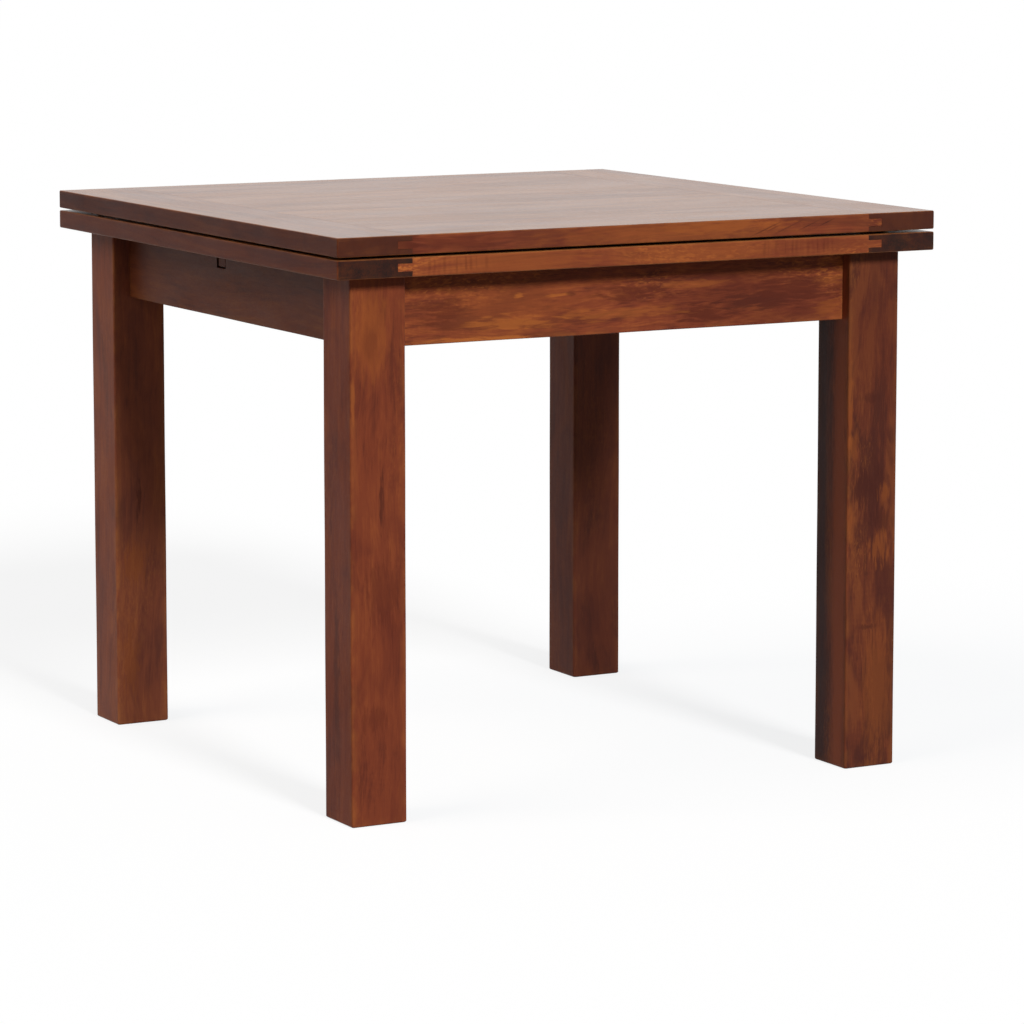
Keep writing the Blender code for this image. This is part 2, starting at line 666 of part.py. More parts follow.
def make_runner(parent, field):
    """Runner under the lower leaf, with the two keepers that hold it down and stop it."""
    half = RUNNER_WIDTH / 2
    runner = part("slide_runner", boxes(((RUNNER_LEFT, RUNNER_Y - half, RUNNER_LOW),
                                         (RUNNER_RIGHT, RUNNER_Y + half, RUNNER_HIGH))),
                  CHESTNUT_DARK, parent, ((RUNNER_LEFT + RUNNER_RIGHT) / 2, RUNNER_Y, RUNNER_LOW))
    first = RUNNER_LEFT + RUNNER_SCREW_MARGIN
    last = STOP_KEEPER_LEFT - RUNNER_SCREW_MARGIN
    step = (last - first) / (RUNNER_SCREW_COUNT - 1)
    stations = [first + step * index for index in range(RUNNER_SCREW_COUNT)]
    stations.append((STOP_KEEPER_LEFT + KEEPER_LENGTH + HOME_KEEPER_LEFT) / 2)
    seat = RUNNER_HIGH - RUNNER_SCREW_SEAT
    drill = screws("runner_screw", RUNNER_SCREW,
                   [facing((x, RUNNER_Y, seat), (0, 0, -1)) for x in stations], parent)
    shape(runner, drill)
    shape(field, drill)
    places = []
    keepers = []
    wide = half + RUNNING + KEEPER_LAP
    low = KEEPER_HIGH - KEEPER_THICK
    for name, left in (("stop_keeper", STOP_KEEPER_LEFT), ("home_keeper", HOME_KEEPER_LEFT)):
        right = left + KEEPER_LENGTH
        block = boxes(((left, RUNNER_Y - wide, low), (right, RUNNER_Y + wide, KEEPER_HIGH)))
        keepers.append(part(name, block, PLAIN_WOOD, parent, ((left + right) / 2, RUNNER_Y, KEEPER_HIGH)))
        for x in (left + KEEPER_SCREW_MARGIN, right - KEEPER_SCREW_MARGIN):
            places.append(facing((x, RUNNER_Y, KEEPER_HIGH - KEEPER_SCREW_SEAT), (0, 0, -1)))
    drill = screws("keeper_screw", KEEPER_SCREW, places, parent)
    for piece in (runner, *keepers):
        shape(piece, drill)


def make_bumpers(parent):
    """Small round bumpers that hold the leaves apart at their free corners."""
    x = BUMPER_INSET - LEAF_X
    for name, depth in (("front", -1), ("back", 1)):
        y = depth * (LEAF_Y - BUMPER_INSET)
        foot = (x, y, LOWER_HIGH + FIT)
        disc = rods(BUMPER_RADIUS, BARREL_SIDES, (foot, (x, y, UPPER_LOW - FIT)))
        part(name + "_bumper", disc, RUBBER, parent, foot)


def make_pins(parent):
    """Pin of each hinge."""
    for name, station in HINGES.items():
        pin = rods(PIN_RADIUS, BARREL_SIDES, pin_ends(station, 0.0))
        part("hinge_pin_" + name, pin, STEEL, parent, (HINGE_X, station, HINGE_Z))


def main():
    """Build the table at rest, with its leaves stacked over the frame."""
    top_slide = carrier("top_slide", (RUNNER_LEFT, RUNNER_Y, RUNNER_HIGH))
    leaf_flip = carrier("leaf_flip", (HINGE_X, 0.0, HINGE_Z), top_slide)
    make_frame()
    lower_field, _, lower_right = make_leaf("lower", LOWER_LOW, CHESTNUT, top_slide)
    _, _, upper_right = make_leaf("upper", UPPER_LOW, CHESTNUT, leaf_flip)
    make_runner(top_slide, lower_field)
    make_bumpers(top_slide)
    make_hinge_plates("lower", -1, BRASS, top_slide, lower_right)
    make_hinge_plates("upper", 1, BRASS, leaf_flip, upper_right)
    make_pins(top_slide)
    bpy.context.view_layer.update()


main()
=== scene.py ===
"""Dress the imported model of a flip-top extending dining table and set it in a plain studio.

The boards, legs and aprons are lofted again from numpy sections with softly eased arrises, and
every piece gets a finish made of shader nodes. Units are metres, +Z is up and +X runs along the
front edge; each piece stands where its CAD node stands.
"""

import logging
import math
from dataclasses import astuple, dataclass, replace
from enum import Enum
from typing import Any, Sequence

import bpy
import numpy as np
from bpy.types import Material, Mesh, Node, NodeSocket, NodeTree, Object
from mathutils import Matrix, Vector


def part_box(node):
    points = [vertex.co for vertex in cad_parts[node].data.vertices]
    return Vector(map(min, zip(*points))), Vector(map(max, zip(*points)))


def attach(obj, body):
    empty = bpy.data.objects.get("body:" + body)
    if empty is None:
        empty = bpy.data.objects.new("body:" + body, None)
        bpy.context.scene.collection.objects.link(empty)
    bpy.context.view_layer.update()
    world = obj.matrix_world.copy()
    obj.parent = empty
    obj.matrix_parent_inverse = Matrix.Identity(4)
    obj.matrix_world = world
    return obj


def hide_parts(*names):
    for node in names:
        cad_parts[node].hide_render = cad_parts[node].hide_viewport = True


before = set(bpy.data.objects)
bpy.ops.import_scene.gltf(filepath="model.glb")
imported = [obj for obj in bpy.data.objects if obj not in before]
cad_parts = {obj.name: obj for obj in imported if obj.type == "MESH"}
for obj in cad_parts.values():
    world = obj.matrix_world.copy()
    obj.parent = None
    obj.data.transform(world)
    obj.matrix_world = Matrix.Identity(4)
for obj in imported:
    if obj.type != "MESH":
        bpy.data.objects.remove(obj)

LOG = logging.getLogger("table")

Array = np.ndarray
Triple = tuple[float, float, float]
Colour = Triple
Span = tuple[float, float]
Finishes = dict[str, Material]

CORNERS = ("front_left", "front_right", "back_left", "back_right")
HINGE_PLACES = ("front", "middle", "back")

FIT = 0.0003  # gap between faces that touch
STEP = 0.00015  # half the length over which a section changes
SHARP = 0.0004  # radius of an edge that is left crisp
FADE = (0.003, 0.010)  # how far from a rounding its arris has mostly and wholly faded
FADE_SHARE = (0.4, 0.8)  # the most of the room on a narrow face that these two take
FADED = (0.4, 0.0)  # nearness to an arris at these two places
END_WEAR = 0.25  # nearness to an arris of a piece's flat end
ROUNDING = 5  # facets of a rounding
SPACING = 0.045  # longest distance between stations along a piece


class Grain(Enum):
    """Direction of a piece's grain, with the turn that lays it along a pattern's own X."""

    X = (0.0, 0.0, 0.0)
    Y = (0.0, 0.0, -math.pi / 2)
    Z = (0.0, math.pi / 2, 0.0)


class Slot(Enum):
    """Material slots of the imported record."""

    CHESTNUT = "chestnut_wood"
    BRASS = "brass"
    STEEL = "steel"
    FELT = "felt"
    RUBBER = "rubber"


def node_box(node: str) -> tuple[Array, Array]:
    """Give a CAD node's lowest and highest corners as arrays."""
    low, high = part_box(node)
    return np.array(low), np.array(high)


def corner_signs(corner: str) -> Array:
    """Give the signs of X and Y at a named corner of the table."""
    return np.array([1.0 if "right" in corner else -1.0, 1.0 if "back" in corner else -1.0])


@dataclass
class Shell:
    """One closed skin of a piece."""

    points: Array  # vertex positions, one row each
    faces: list[list[int]]  # vertex numbers of every face
    arris: Array  # how near each vertex is to a handled edge, from 0 to 1


def rectangle(low: Array, high: Array) -> Array:
    """Give a rectangle's corners, from the low-low one round."""
    return np.array([low, (high[0], low[1]), high, (low[0], high[1])])


def eased_section(corners: Array, radii: Array, fade: Span = FADE) -> tuple[Array, Array]:
    """Round the corners of one or more closed outlines.

    With a the unit direction into a corner and b the one out of it, the rounding is the corner
    plus r (a (sin t - 1) + b (1 - cos t)) for t over a quarter turn. Two more points on each side
    of it carry the fading of the arris.

    Args:
        corners: Outline corners, shaped (rows, corners, 2).
        radii: Radius of each corner.
        fade: Distances from the rounding at which the arris has mostly and wholly faded.

    Returns:
        The outlines, shaped (rows, points, 2), and the points' nearness to an arris.
    """
    ahead = np.roll(corners, -1, axis=1) - corners
    length = np.linalg.norm(ahead, axis=2, keepdims=True)
    out = ahead / length
    into = np.roll(out, 1, axis=1)
    radius = np.asarray(radii, float)[None, :, None]
    room_out = length / 2 - radius
    room_in = np.roll(length, 1, axis=1) / 2 - radius
    turn = np.linspace(0.0, math.pi / 2, ROUNDING + 1)[None, None, :, None]
    arc = corners[:, :, None] + radius[..., None] * (
        into[:, :, None] * (np.sin(turn) - 1) + out[:, :, None] * (1 - np.cos(turn)))
    limits = list(zip(fade, FADE_SHARE))
    before = [corners - into * (radius + np.minimum(far, share * room_in))
              for far, share in limits[::-1]]
    after = [corners + out * (radius + np.minimum(far, share * room_out)) for far, share in limits]
    rings = np.concatenate([np.stack(before, 2), arc, np.stack(after, 2)], axis=2)
    near = np.concatenate([FADED[::-1], np.ones(ROUNDING + 1), FADED])
    return rings.reshape(len(corners), -1, 2), np.tile(near, corners.shape[1])


@dataclass(frozen=True)
class Path:
    """Stations along a straight piece: how far along, how far drawn in, and how near an arris."""

    along: Array
    inset: Array
    arris: Array

    @classmethod
    def between(cls, start: float, stop: float, ease: Span,
                breaks: Sequence[float] = ()) -> "Path":
        """Lay out stations from one end to the other.

        A rounded end of radius e has stations at e (1 - sin t) from the end, drawn in by
        e (1 - cos t). A break is a pair of stations close together, where a section may change;
        no other station comes nearer to it than four of its steps.

        Args:
            start: Lower end.
            stop: Upper end.
            ease: Radius at the lower and the upper end.
            breaks: Places where the section changes.

        Returns:
            The stations in order.
        """
        turn = np.linspace(math.pi / 2, 0.0, ROUNDING + 1)
        along, drawn = 1 - np.sin(turn), 1 - np.cos(turn)
        fade = np.minimum(FADE, np.array(FADE_SHARE) * ((stop - start) / 2 - max(ease)))
        low = np.concatenate([start + ease[0] * along, start + ease[0] + fade])
        high = np.concatenate([stop - ease[1] * along, stop - ease[1] - fade])[::-1]
        inset_low = np.concatenate([ease[0] * drawn, np.zeros(2)])
        inset_high = np.concatenate([ease[1] * drawn, np.zeros(2)])[::-1]
        near = np.concatenate([[END_WEAR], np.ones(ROUNDING), FADED])
        count = max(2, int(math.ceil((high[0] - low[-1]) / SPACING)))
        middle = np.linspace(low[-1], high[0], count + 1)[1:-1]
        pairs = (np.asarray(breaks, float)[:, None] + np.array([[-STEP, STEP]])).ravel()
        if len(pairs):
            clear = np.abs(middle[:, None] - pairs[None, :]).min(axis=1) > 4 * STEP
            middle = middle[clear]
        middle = np.sort(np.concatenate([middle, pairs]))
        zero = np.zeros(len(middle))
        return cls(np.concatenate([low, middle, high]),
                   np.concatenate([inset_low, zero, inset_high]),
                   np.concatenate([near, zero, near[::-1]]))

    def within(self, low: float, high: float) -> Array:
        """Tell which stations lie between two places."""
        return (self.along > low) & (self.along < high)


def loft(rings: Array, arris: Array) -> Shell:
    """Skin a row of closed rings and close both ends.

    Quads join each ring to the next one, point by point, and a flat face fills the first and
    the last ring.

    Args:
        rings: Points shaped (rows, points, 3).
        arris: Nearness to an arris, shaped (rows, points).

    Returns:
        The closed skin.
    """
    rows, count = rings.shape[:2]
    index = np.arange(rows * count).reshape(rows, count)
    beside = np.roll(index, -1, axis=1)
    quads = np.stack([index[:-1], beside[:-1], beside[1:], index[1:]], axis=-1).reshape(-1, 4)
    faces = quads.tolist() + [index[0, ::-1].tolist(), index[-1].tolist()]
    return Shell(rings.reshape(-1, 3), faces, arris.reshape(-1))


def combined(profile: Array, stations: Array) -> Array:
    """Join the arris values of a section and a path by taking the greater."""
    return np.maximum(profile[None, :], stations[:, None])


def grid_quads(index: Array) -> Array:
    """Join the neighbours in a grid of vertex numbers to quads, one row each."""
    quads = np.stack([index[:-1, :-1], index[1:, :-1], index[1:, 1:], index[:-1, 1:]], axis=-1)
    return quads.reshape(-1, 4)


class Workshop:
    """Turns skins into named pieces that ride on the frame."""

    CREASE = 38.0  # degrees above which an edge stays sharp

    def __init__(self) -> None:
        """Start with no pieces made."""
        self.made: list[str] = []

    def piece(self, name: str, shells: Sequence[Shell], finish: Material, body: str,
              nodes: Sequence[str] = ()) -> Object:
        """Make one object out of skins and hang it on a body.

        Args:
            name: The piece's name.
            shells: Its skins.
            finish: Its material.
            body: CAD body that it moves with.
            nodes: CAD nodes that it stands for.

        Returns:
            The finished object.
        """
        starts = np.cumsum([0] + [len(shell.points) for shell in shells[:-1]])
        points = np.concatenate([shell.points for shell in shells])
        faces = [[corner + int(start) for corner in face]
                 for shell, start in zip(shells, starts) for face in shell.faces]
        mesh = bpy.data.meshes.new(name)
        mesh.from_pydata(points.tolist(), [], faces)
        mesh.update()
        mark = mesh.attributes.new("arris", "FLOAT", "POINT")
        mark.data.foreach_set("value", np.concatenate([s.arris for s in shells]).astype(np.float32))
        self.face_outwards(mesh)
        mesh.shade_smooth()
        mesh.set_sharp_from_angle(angle=math.radians(self.CREASE))
        mesh.materials.append(finish)
        obj = bpy.data.objects.new(name, mesh)
        bpy.context.scene.collection.objects.link(obj)
        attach(obj, body)
        if nodes:
            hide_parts(*nodes)
        self.made.append(name)
        LOG.info("made %s: %d faces on %s", name, len(faces), body)
        return obj

    def stand_in(self, node: str, kind: str, skin: Shell, finish: Material, body: str) -> Object:
        """Make a piece of one skin that stands for a CAD node, named for it and its kind."""
        return self.piece(f"{node}_{kind}", [skin], finish, body, [node])

    @staticmethod
    def face_outwards(mesh: Mesh) -> None:
        """Flip a mesh that is inside out.

        The signed volume, a sixth of the sum of the triangles' triple products, is then negative.

        Args:
            mesh: The closed mesh.
        """
        mesh.calc_loop_triangles()
        corners = np.empty(len(mesh.loop_triangles) * 3, np.int32)
        mesh.loop_triangles.foreach_get("vertices", corners)
        points = np.empty(len(mesh.vertices) * 3)
        mesh.vertices.foreach_get("co", points)
        a, b, c = np.moveaxis(points.reshape(-1, 3)[corners.reshape(-1, 3)], 1, 0)
        if np.einsum("ij,ij->i", a, np.cross(b, c)).sum() < 0:
            mesh.flip_normals()

    def dress(self, node: str, finish: Material) -> None:
        """Give a CAD node that keeps its shape a better finish.

        Args:
            node: The CAD node.
            finish: Its material.
        """
        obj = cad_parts[node]
        obj.data.materials.clear()
        obj.data.materials.append(finish)
        LOG.info("dressed %s with %s", node, finish.name)


@dataclass(frozen=True)
class Cloud:
    """A cloudy noise."""

    counts: Triple  # counts per metre of its cells along each axis
    detail: float = 2.0  # octaves of finer noise
    distortion: float = 0.0
    rise: Span = (0.0, 1.0)  # values between which a mask of its patches rises


class Graph:
    """Short way of writing shader nodes into one tree."""

    MIX_A, MIX_B, MIXED = 6, 7, 2  # colour sockets of a Mix node, whose names aren't unique

    def __init__(self, tree: NodeTree) -> None:
        """Work on one node tree."""
        self.tree = tree

    def add(self, kind: str, **settings: Any) -> Node:
        """Add a node.

        Args:
            kind: Type of shader node.
            **settings: Its properties.

        Returns:
            The node.
        """
        node = self.tree.nodes.new("ShaderNode" + kind)
        for key, value in settings.items():
            setattr(node, key, value)
        return node

    def put(self, socket: NodeSocket, value: Any) -> None:
        """Link a socket to another one, or set its own value.

        Args:
            socket: An input.
            value: Another node's output, a number, a vector or a colour.
        """
        if isinstance(value, NodeSocket):
            self.tree.links.new(value, socket)
        elif socket.type == "RGBA" and len(value) == 3:
            socket.default_value = (*value, 1.0)
        else:
            socket.default_value = value

    def fill(self, node: Node, *values: Any) -> Node:
        """Give a node's first inputs their values.

        Args:
            node: The node.
            *values: Values in the order of its inputs.

        Returns:
            The node.
        """
        for socket, value in zip(node.inputs, values):
            self.put(socket, value)
        return node

    def wire(self, node: Node, **values: Any) -> Node:
        """Give a node's named inputs their values.

        Args:
            node: The node.
            **values: Values by the inputs' names, with an underscore for a blank.

        Returns:
            The node.
        """
        for name, value in values.items():
            self.put(node.inputs[name.replace("_", " ")], value)
        return node

    def math(self, operation: str, *values: Any, clamp: bool = False) -> NodeSocket:
        """Work out a number from one, two or three others."""
        return self.fill(self.add("Math", operation=operation, use_clamp=clamp), *values).outputs[0]

    def times(self, value: Any, factor: Any) -> NodeSocket:
        """Multiply a number by another."""
        return self.math("MULTIPLY", value, factor)

    def vector(self, operation: str, *values: Any) -> NodeSocket:
        """Work out a vector, or its length, from others."""
        node = self.fill(self.add("VectorMath", operation=operation), *values)
        return node.outputs["Value" if operation == "LENGTH" else "Vector"]

    def split(self, vector: Any) -> Any:
        """Give a vector's X, Y and Z as named outputs."""
        return self.fill(self.add("SeparateXYZ"), vector).outputs

    def span(self, value: Any, low: float, high: float, start: Any = 0.0,
             stop: Any = 1.0) -> NodeSocket:
        """Ease a number from one range into another, clamped at both ends."""
        node = self.add("MapRange", interpolation_type="SMOOTHSTEP")
        return self.fill(node, value, low, high, start, stop).outputs[0]

    def mix(self, factor: Any, a: Any, b: Any) -> NodeSocket:
        """Mix two colours.

        Args:
            factor: Share of the second colour.
            a: First colour.
            b: Second colour.

        Returns:
            The mixed colour.
        """
        node = self.add("Mix", data_type="RGBA")
        self.put(node.inputs["Factor"], factor)
        self.put(node.inputs[self.MIX_A], a)
        self.put(node.inputs[self.MIX_B], b)
        return node.outputs[self.MIXED]

    def noise(self, vector: Any, cloud: Cloud, output: str = "Fac") -> NodeSocket:
        """Lay a cloudy noise.

        Args:
            vector: Place in the noise, in metres.
            cloud: Its cells.
            output: Fac for a number or Color for three.

        Returns:
            Its values.
        """
        node = self.add("TexNoise", noise_dimensions="3D")
        place = self.vector("MULTIPLY", vector, cloud.counts)
        self.wire(node, Vector=place, Scale=1.0, Detail=cloud.detail, Distortion=cloud.distortion)
        return node.outputs[output]

    def patches(self, vector: Any, cloud: Cloud) -> NodeSocket:
        """Mask of the patches where a noise is high."""
        return self.span(self.noise(vector, cloud), *cloud.rise)

    def swing(self, value: Any, amount: Any) -> NodeSocket:
        """Turn a value about one half into a swing about zero."""
        return self.times(self.math("SUBTRACT", value, 0.5), amount)

    def total(self, *values: Any) -> NodeSocket:
        """Add up several numbers.

        Args:
            *values: Two or more numbers.

        Returns:
            Their sum.
        """
        result = values[0]
        for value in values[1:]:
            result = self.math("ADD", result, value)
        return result

    def group(self, tree: NodeTree, **values: Any) -> Any:
        """Place a node group with values for its inputs, and give its outputs."""
        return self.wire(self.add("Group", node_tree=tree), **values).outputs

    def bump(self, shader: Node, height: Any, strength: float, distance: float) -> None:
        """Bump a shader's normal by a height, which is counted in the given distance."""
        bump = self.wire(self.add("Bump"), Strength=strength, Distance=distance, Height=height)
        self.wire(shader, Normal=bump.outputs["Normal"])


def new_material(name: str) -> tuple[Material, Graph, Node]:
    """Start a material.

    Args:
        name: Its name.

    Returns:
        The material, its graph and its surface shader.
    """
    made = bpy.data.materials.new(name)
    made.use_nodes = True
    return made, Graph(made.node_tree), made.node_tree.nodes["Principled BSDF"]


# Clouds of the wood, with the grain along X
GRAIN_DRIFT = Cloud((2.2, 7.0, 7.0))
BLOTCHES = Cloud((7.0, 21.0, 21.0), 3.0, 0.5)
STREAKS = Cloud((13.0, 105.0, 105.0), 3.0, 0.3)
FINE_LINES = Cloud((50.0, 560.0, 560.0))
RIPPLE_BENDS = Cloud((9.0, 34.0, 34.0))
RIPPLED = Cloud((4.0, 11.0, 11.0), 1.0, rise=(0.46, 0.70))
HEARTWOOD = Cloud((9.0, 26.0, 26.0), 3.0, 0.8, (0.50, 0.68))
GOLD_FLECKS = Cloud((60.0, 260.0, 260.0), 3.0, 0.5, (0.46, 0.74))
GOLD_SPARKS = Cloud((120.0, 440.0, 440.0), 2.0, 0.4, (0.50, 0.72))
GOLDEN = Cloud((4.0, 15.0, 15.0), rise=(0.44, 0.66))
PORES = Cloud((85.0, 1300.0, 1300.0), 1.0, rise=(0.60, 0.74))
END_SPECKS = Cloud((8.0, 640.0, 640.0))
END_CLOUDS = Cloud((8.0, 60.0, 60.0), 3.0)
RAGGED_EDGES = Cloud((38.0, 240.0, 240.0), 5.0, 0.5)
RUBBED = Cloud((28.0, 46.0, 46.0), 3.0, rise=(0.38, 0.62))
SMEARS = Cloud((4.0, 9.0, 9.0), 4.0, 1.2)

# Clouds of every finish, of metal and of felt or rubber
DUST = Cloud((240.0, 240.0, 240.0))
BRUSHING = Cloud((1.0, 1.0, 1.0), 3.0)
TARNISH = Cloud((34.0, 34.0, 34.0), 2.0, 0.4)
FIBRES = Cloud((1.0, 1.0, 1.0), 4.0, 2.2)
FELT_CLOUDS = Cloud((60.0, 60.0, 60.0))

# Figure of the wood
SEED_STEP = (3.71, 1.93, 2.37)  # how far apart in the figure two seeds lie
HALF = (0.5, 0.5, 0.5)  # middle of a noise
GRAIN_BEND = (0.0, 0.055, 0.055)  # how far the grain drifts aside
PITH = (0.0, 0.07, 0.11)  # from the tree's pith to the figure's origin
ACROSS = (0.0, 1.0, 1.0)  # keeps what lies across the grain
RINGS = 105.0  # growth rings per metre
RIPPLES = 820.0  # radians of ripple per metre
RIPPLE_WANDER = 16.0  # radians by which ripples wander
HEART_OFFSET = (11.3, 5.1, 7.7)  # keep heartwood and gold apart from the blotches
GOLD_OFFSET = (3.9, 8.3, 2.1)
FINE_RELIEF = 0.5  # height of fine lines beside the depth of pores
FIRST_JOINT = 0.4  # from the table's middle to a joint, in widths of a stave
STAVE_EDGE = (0.4955, 0.4995)  # where a joint starts and is full, from a stave's middle
STAVE_SHIFT = (2.3, 0.9, 0.7)  # how far apart in the figure two staves may lie
STAVE_CONTRAST = 0.22
JOINT_DEPTH = 0.25  # how much darker the joints are
RING_STRENGTH = 0.10  # of growth rings in the tone

# Stain, marks and wear
DARK_TO_MIDDLE = (0.22, 0.52)  # tones over which one colour of a stain gives way
MIDDLE_TO_LIGHT = (0.48, 0.80)
MARK_END = 1.2  # where a mark ends, in its half lengths
MARK_EDGE = 0.9  # over which it fades, in its half lengths
ACROSS_GRAIN = (0.70, 0.95)  # shares of a normal along the grain at which a face is an end
END_FRESH = 0.35  # share of the board's colour in the palest end grain
END_SOAK = (0.70, 1.30)  # values over which the end grain pales
DUST_SHARE = 0.5  # of dust beside smears in the gloss
UPRIGHT = (0.9, 0.4)  # shares of a normal along Z at which a face turns upright
FLAT = (0.75, 0.98)  # and at which it turns flat
FADED_TONES = (0.25, 0.75)  # tones over which the faded colour pales
FADED_DARK = (0.150, 0.060, 0.017)  # colours to which the flats of the top have faded
FADED_LIGHT = (0.258, 0.122, 0.035)
BLACK = (0.0, 0.0, 0.0)
HAZE = (0.3, 0.7)  # smears over which the lacquer thickens
THIN_FILM = 0.72  # its weight where it is thin
WOOD_SMEARS = 0.25  # swing of roughness on wood
WOOD_BUMP = (0.22, 0.0004)  # strength and height of pores and fine lines

# Metal, felt and rubber
BRUSH_IN_TARNISH = 0.4  # share of the brushing in the tarnish
TARNISHED = (0.36, 0.80)  # values over which metal dulls
BRUSH_ROUGHNESS = 0.22
TARNISH_ROUGHNESS = 0.15  # more roughness where it has dulled
METAL_BUMP = (0.15, 0.0001)  # strength and height of the brushing
FLECK_CLOUDS = 0.5  # share of broad clouds in the flecks
FLECKED = (0.38, 0.68)  # values over which the ground gives way to flecks
SOFT_SMEARS = 0.15  # swing of roughness on felt and rubber
SOFT_SPECULAR = 0.2
SOFT_BUMP = 0.6  # strength of the flecks' relief


class Kind(Enum):
    """Kinds of socket on a node group."""

    FLOAT = "NodeSocketFloat"
    VECTOR = "NodeSocketVector"
    COLOUR = "NodeSocketColor"


Sockets = dict[Kind, str]


class Effects:
    """Shader node groups that several finishes share, each built once."""

    def __init__(self) -> None:
        """Build every group."""
        self.staves = self.make_staves()
        self.figure = self.make_figure()
        self.stain = self.make_stain()
        self.mark = self.make_mark()
        self.end_grain = self.make_end_grain()
        self.worn_edge = self.make_worn_edge()
        self.handling = self.make_handling()
        self.metal = self.make_metal()
        self.flecks = self.make_flecks()

    @staticmethod
    def begin(name: str, inputs: Sockets, outputs: Sockets) -> tuple[Graph, Any, Any]:
        """Start a group.

        Args:
            name: Name of the group.
            inputs: Names of the inputs of each kind, with blanks between.
            outputs: Names of the outputs in the same way.

        Returns:
            Its graph, its input sockets and its output sockets.
        """
        tree = bpy.data.node_groups.new(name, "ShaderNodeTree")
        for direction, sockets in (("INPUT", inputs), ("OUTPUT", outputs)):
            for kind, labels in sockets.items():
                for label in labels.split():
                    tree.interface.new_socket(label, in_out=direction, socket_type=kind.value)
        entry = tree.nodes.new("NodeGroupInput")
        leave = tree.nodes.new("NodeGroupOutput")
        return Graph(tree), entry.outputs, leave.inputs

    def make_staves(self) -> NodeTree:
        """Boards glued edge to edge: a chance colour and shade for each stave, and the joints.

        Returns:
            The group.
        """
        graph, given, wanted = self.begin(
            "glued_staves", {Kind.VECTOR: "Vector", Kind.FLOAT: "Width Seed"},
            {Kind.COLOUR: "Pick", Kind.FLOAT: "Shade Joint"})
        widths = graph.math("DIVIDE", graph.split(given["Vector"])["Y"], given["Width"])
        across = graph.math("ADD", widths, FIRST_JOINT)
        pick = graph.add("TexWhiteNoise", noise_dimensions="1D")
        graph.put(pick.inputs["W"], graph.total(graph.math("FLOOR", across), given["Seed"]))
        graph.put(wanted["Pick"], pick.outputs["Color"])
        graph.put(wanted["Shade"], pick.outputs["Value"])
        edge = graph.math("ABSOLUTE", graph.math("SUBTRACT", graph.math("FRACT", across), 0.5))
        graph.put(wanted["Joint"], graph.span(edge, *STAVE_EDGE))
        return graph.tree

    def make_figure(self) -> NodeTree:
        """Figure of a hardwood board whose grain runs along the vector's X.

        Returns:
            The group.
        """
        graph, given, wanted = self.begin(
            "hardwood_figure",
            {Kind.VECTOR: "Vector Draw",
             Kind.FLOAT: "Seed Blotch Streak Fine Rings Curl"},
            {Kind.FLOAT: "Tone Heart Gleam Relief"})
        apart = graph.vector("MULTIPLY", SEED_STEP, given["Seed"])
        place = graph.vector("ADD", given["Vector"], apart)
        drift = graph.vector("SUBTRACT", graph.noise(place, GRAIN_DRIFT, "Color"), HALF)
        bent = graph.vector("ADD", place, graph.vector("MULTIPLY", drift, GRAIN_BEND))
        drawn = graph.vector("MULTIPLY", bent, given["Draw"])
        blotch = graph.noise(drawn, BLOTCHES)
        streak = graph.noise(drawn, STREAKS)
        fine = graph.noise(drawn, FINE_LINES)
        from_pith = graph.vector("MULTIPLY", graph.vector("ADD", bent, PITH), ACROSS)
        radius = graph.vector("LENGTH", from_pith)
        ring = graph.math("FRACT", graph.total(graph.times(radius, RINGS), streak))
        turn = graph.total(
            graph.times(graph.split(bent)["X"], RIPPLES),
            graph.times(graph.noise(bent, RIPPLE_BENDS), RIPPLE_WANDER))
        ripple = graph.times(graph.math("SINE", turn), graph.patches(bent, RIPPLED))
        graph.put(wanted["Tone"], graph.total(
            0.5, graph.swing(blotch, given["Blotch"]), graph.swing(streak, given["Streak"]),
            graph.swing(fine, given["Fine"]), graph.swing(ring, given["Rings"]),
            graph.times(ripple, given["Curl"])))
        graph.put(wanted["Heart"],
                  graph.patches(graph.vector("ADD", bent, HEART_OFFSET), HEARTWOOD))
        glow = graph.vector("ADD", bent, GOLD_OFFSET)
        flecks = graph.math("MAXIMUM", graph.patches(glow, GOLD_FLECKS),
                            graph.patches(glow, GOLD_SPARKS))
        graph.put(wanted["Gleam"], graph.times(flecks, graph.patches(glow, GOLDEN)))
        graph.put(wanted["Relief"], graph.math(
            "SUBTRACT", graph.swing(fine, FINE_RELIEF), graph.patches(bent, PORES)))
        return graph.tree

    def make_stain(self) -> NodeTree:
        """Colour that a stain takes on over a figure.

        Returns:
            The group.
        """
        graph, given, wanted = self.begin(
            "stain_colour",
            {Kind.FLOAT: "Tone Heart Gleam",
             Kind.COLOUR: "Dark Middle Light Heartwood Gold"},
            {Kind.COLOUR: "Color"})
        low = graph.mix(graph.span(given["Tone"], *DARK_TO_MIDDLE), given["Dark"], given["Middle"])
        high = graph.mix(graph.span(given["Tone"], *MIDDLE_TO_LIGHT), low, given["Light"])
        heart = graph.mix(given["Heart"], high, given["Heartwood"])
        graph.put(wanted["Color"], graph.mix(given["Gleam"], heart, given["Gold"]))
        return graph.tree

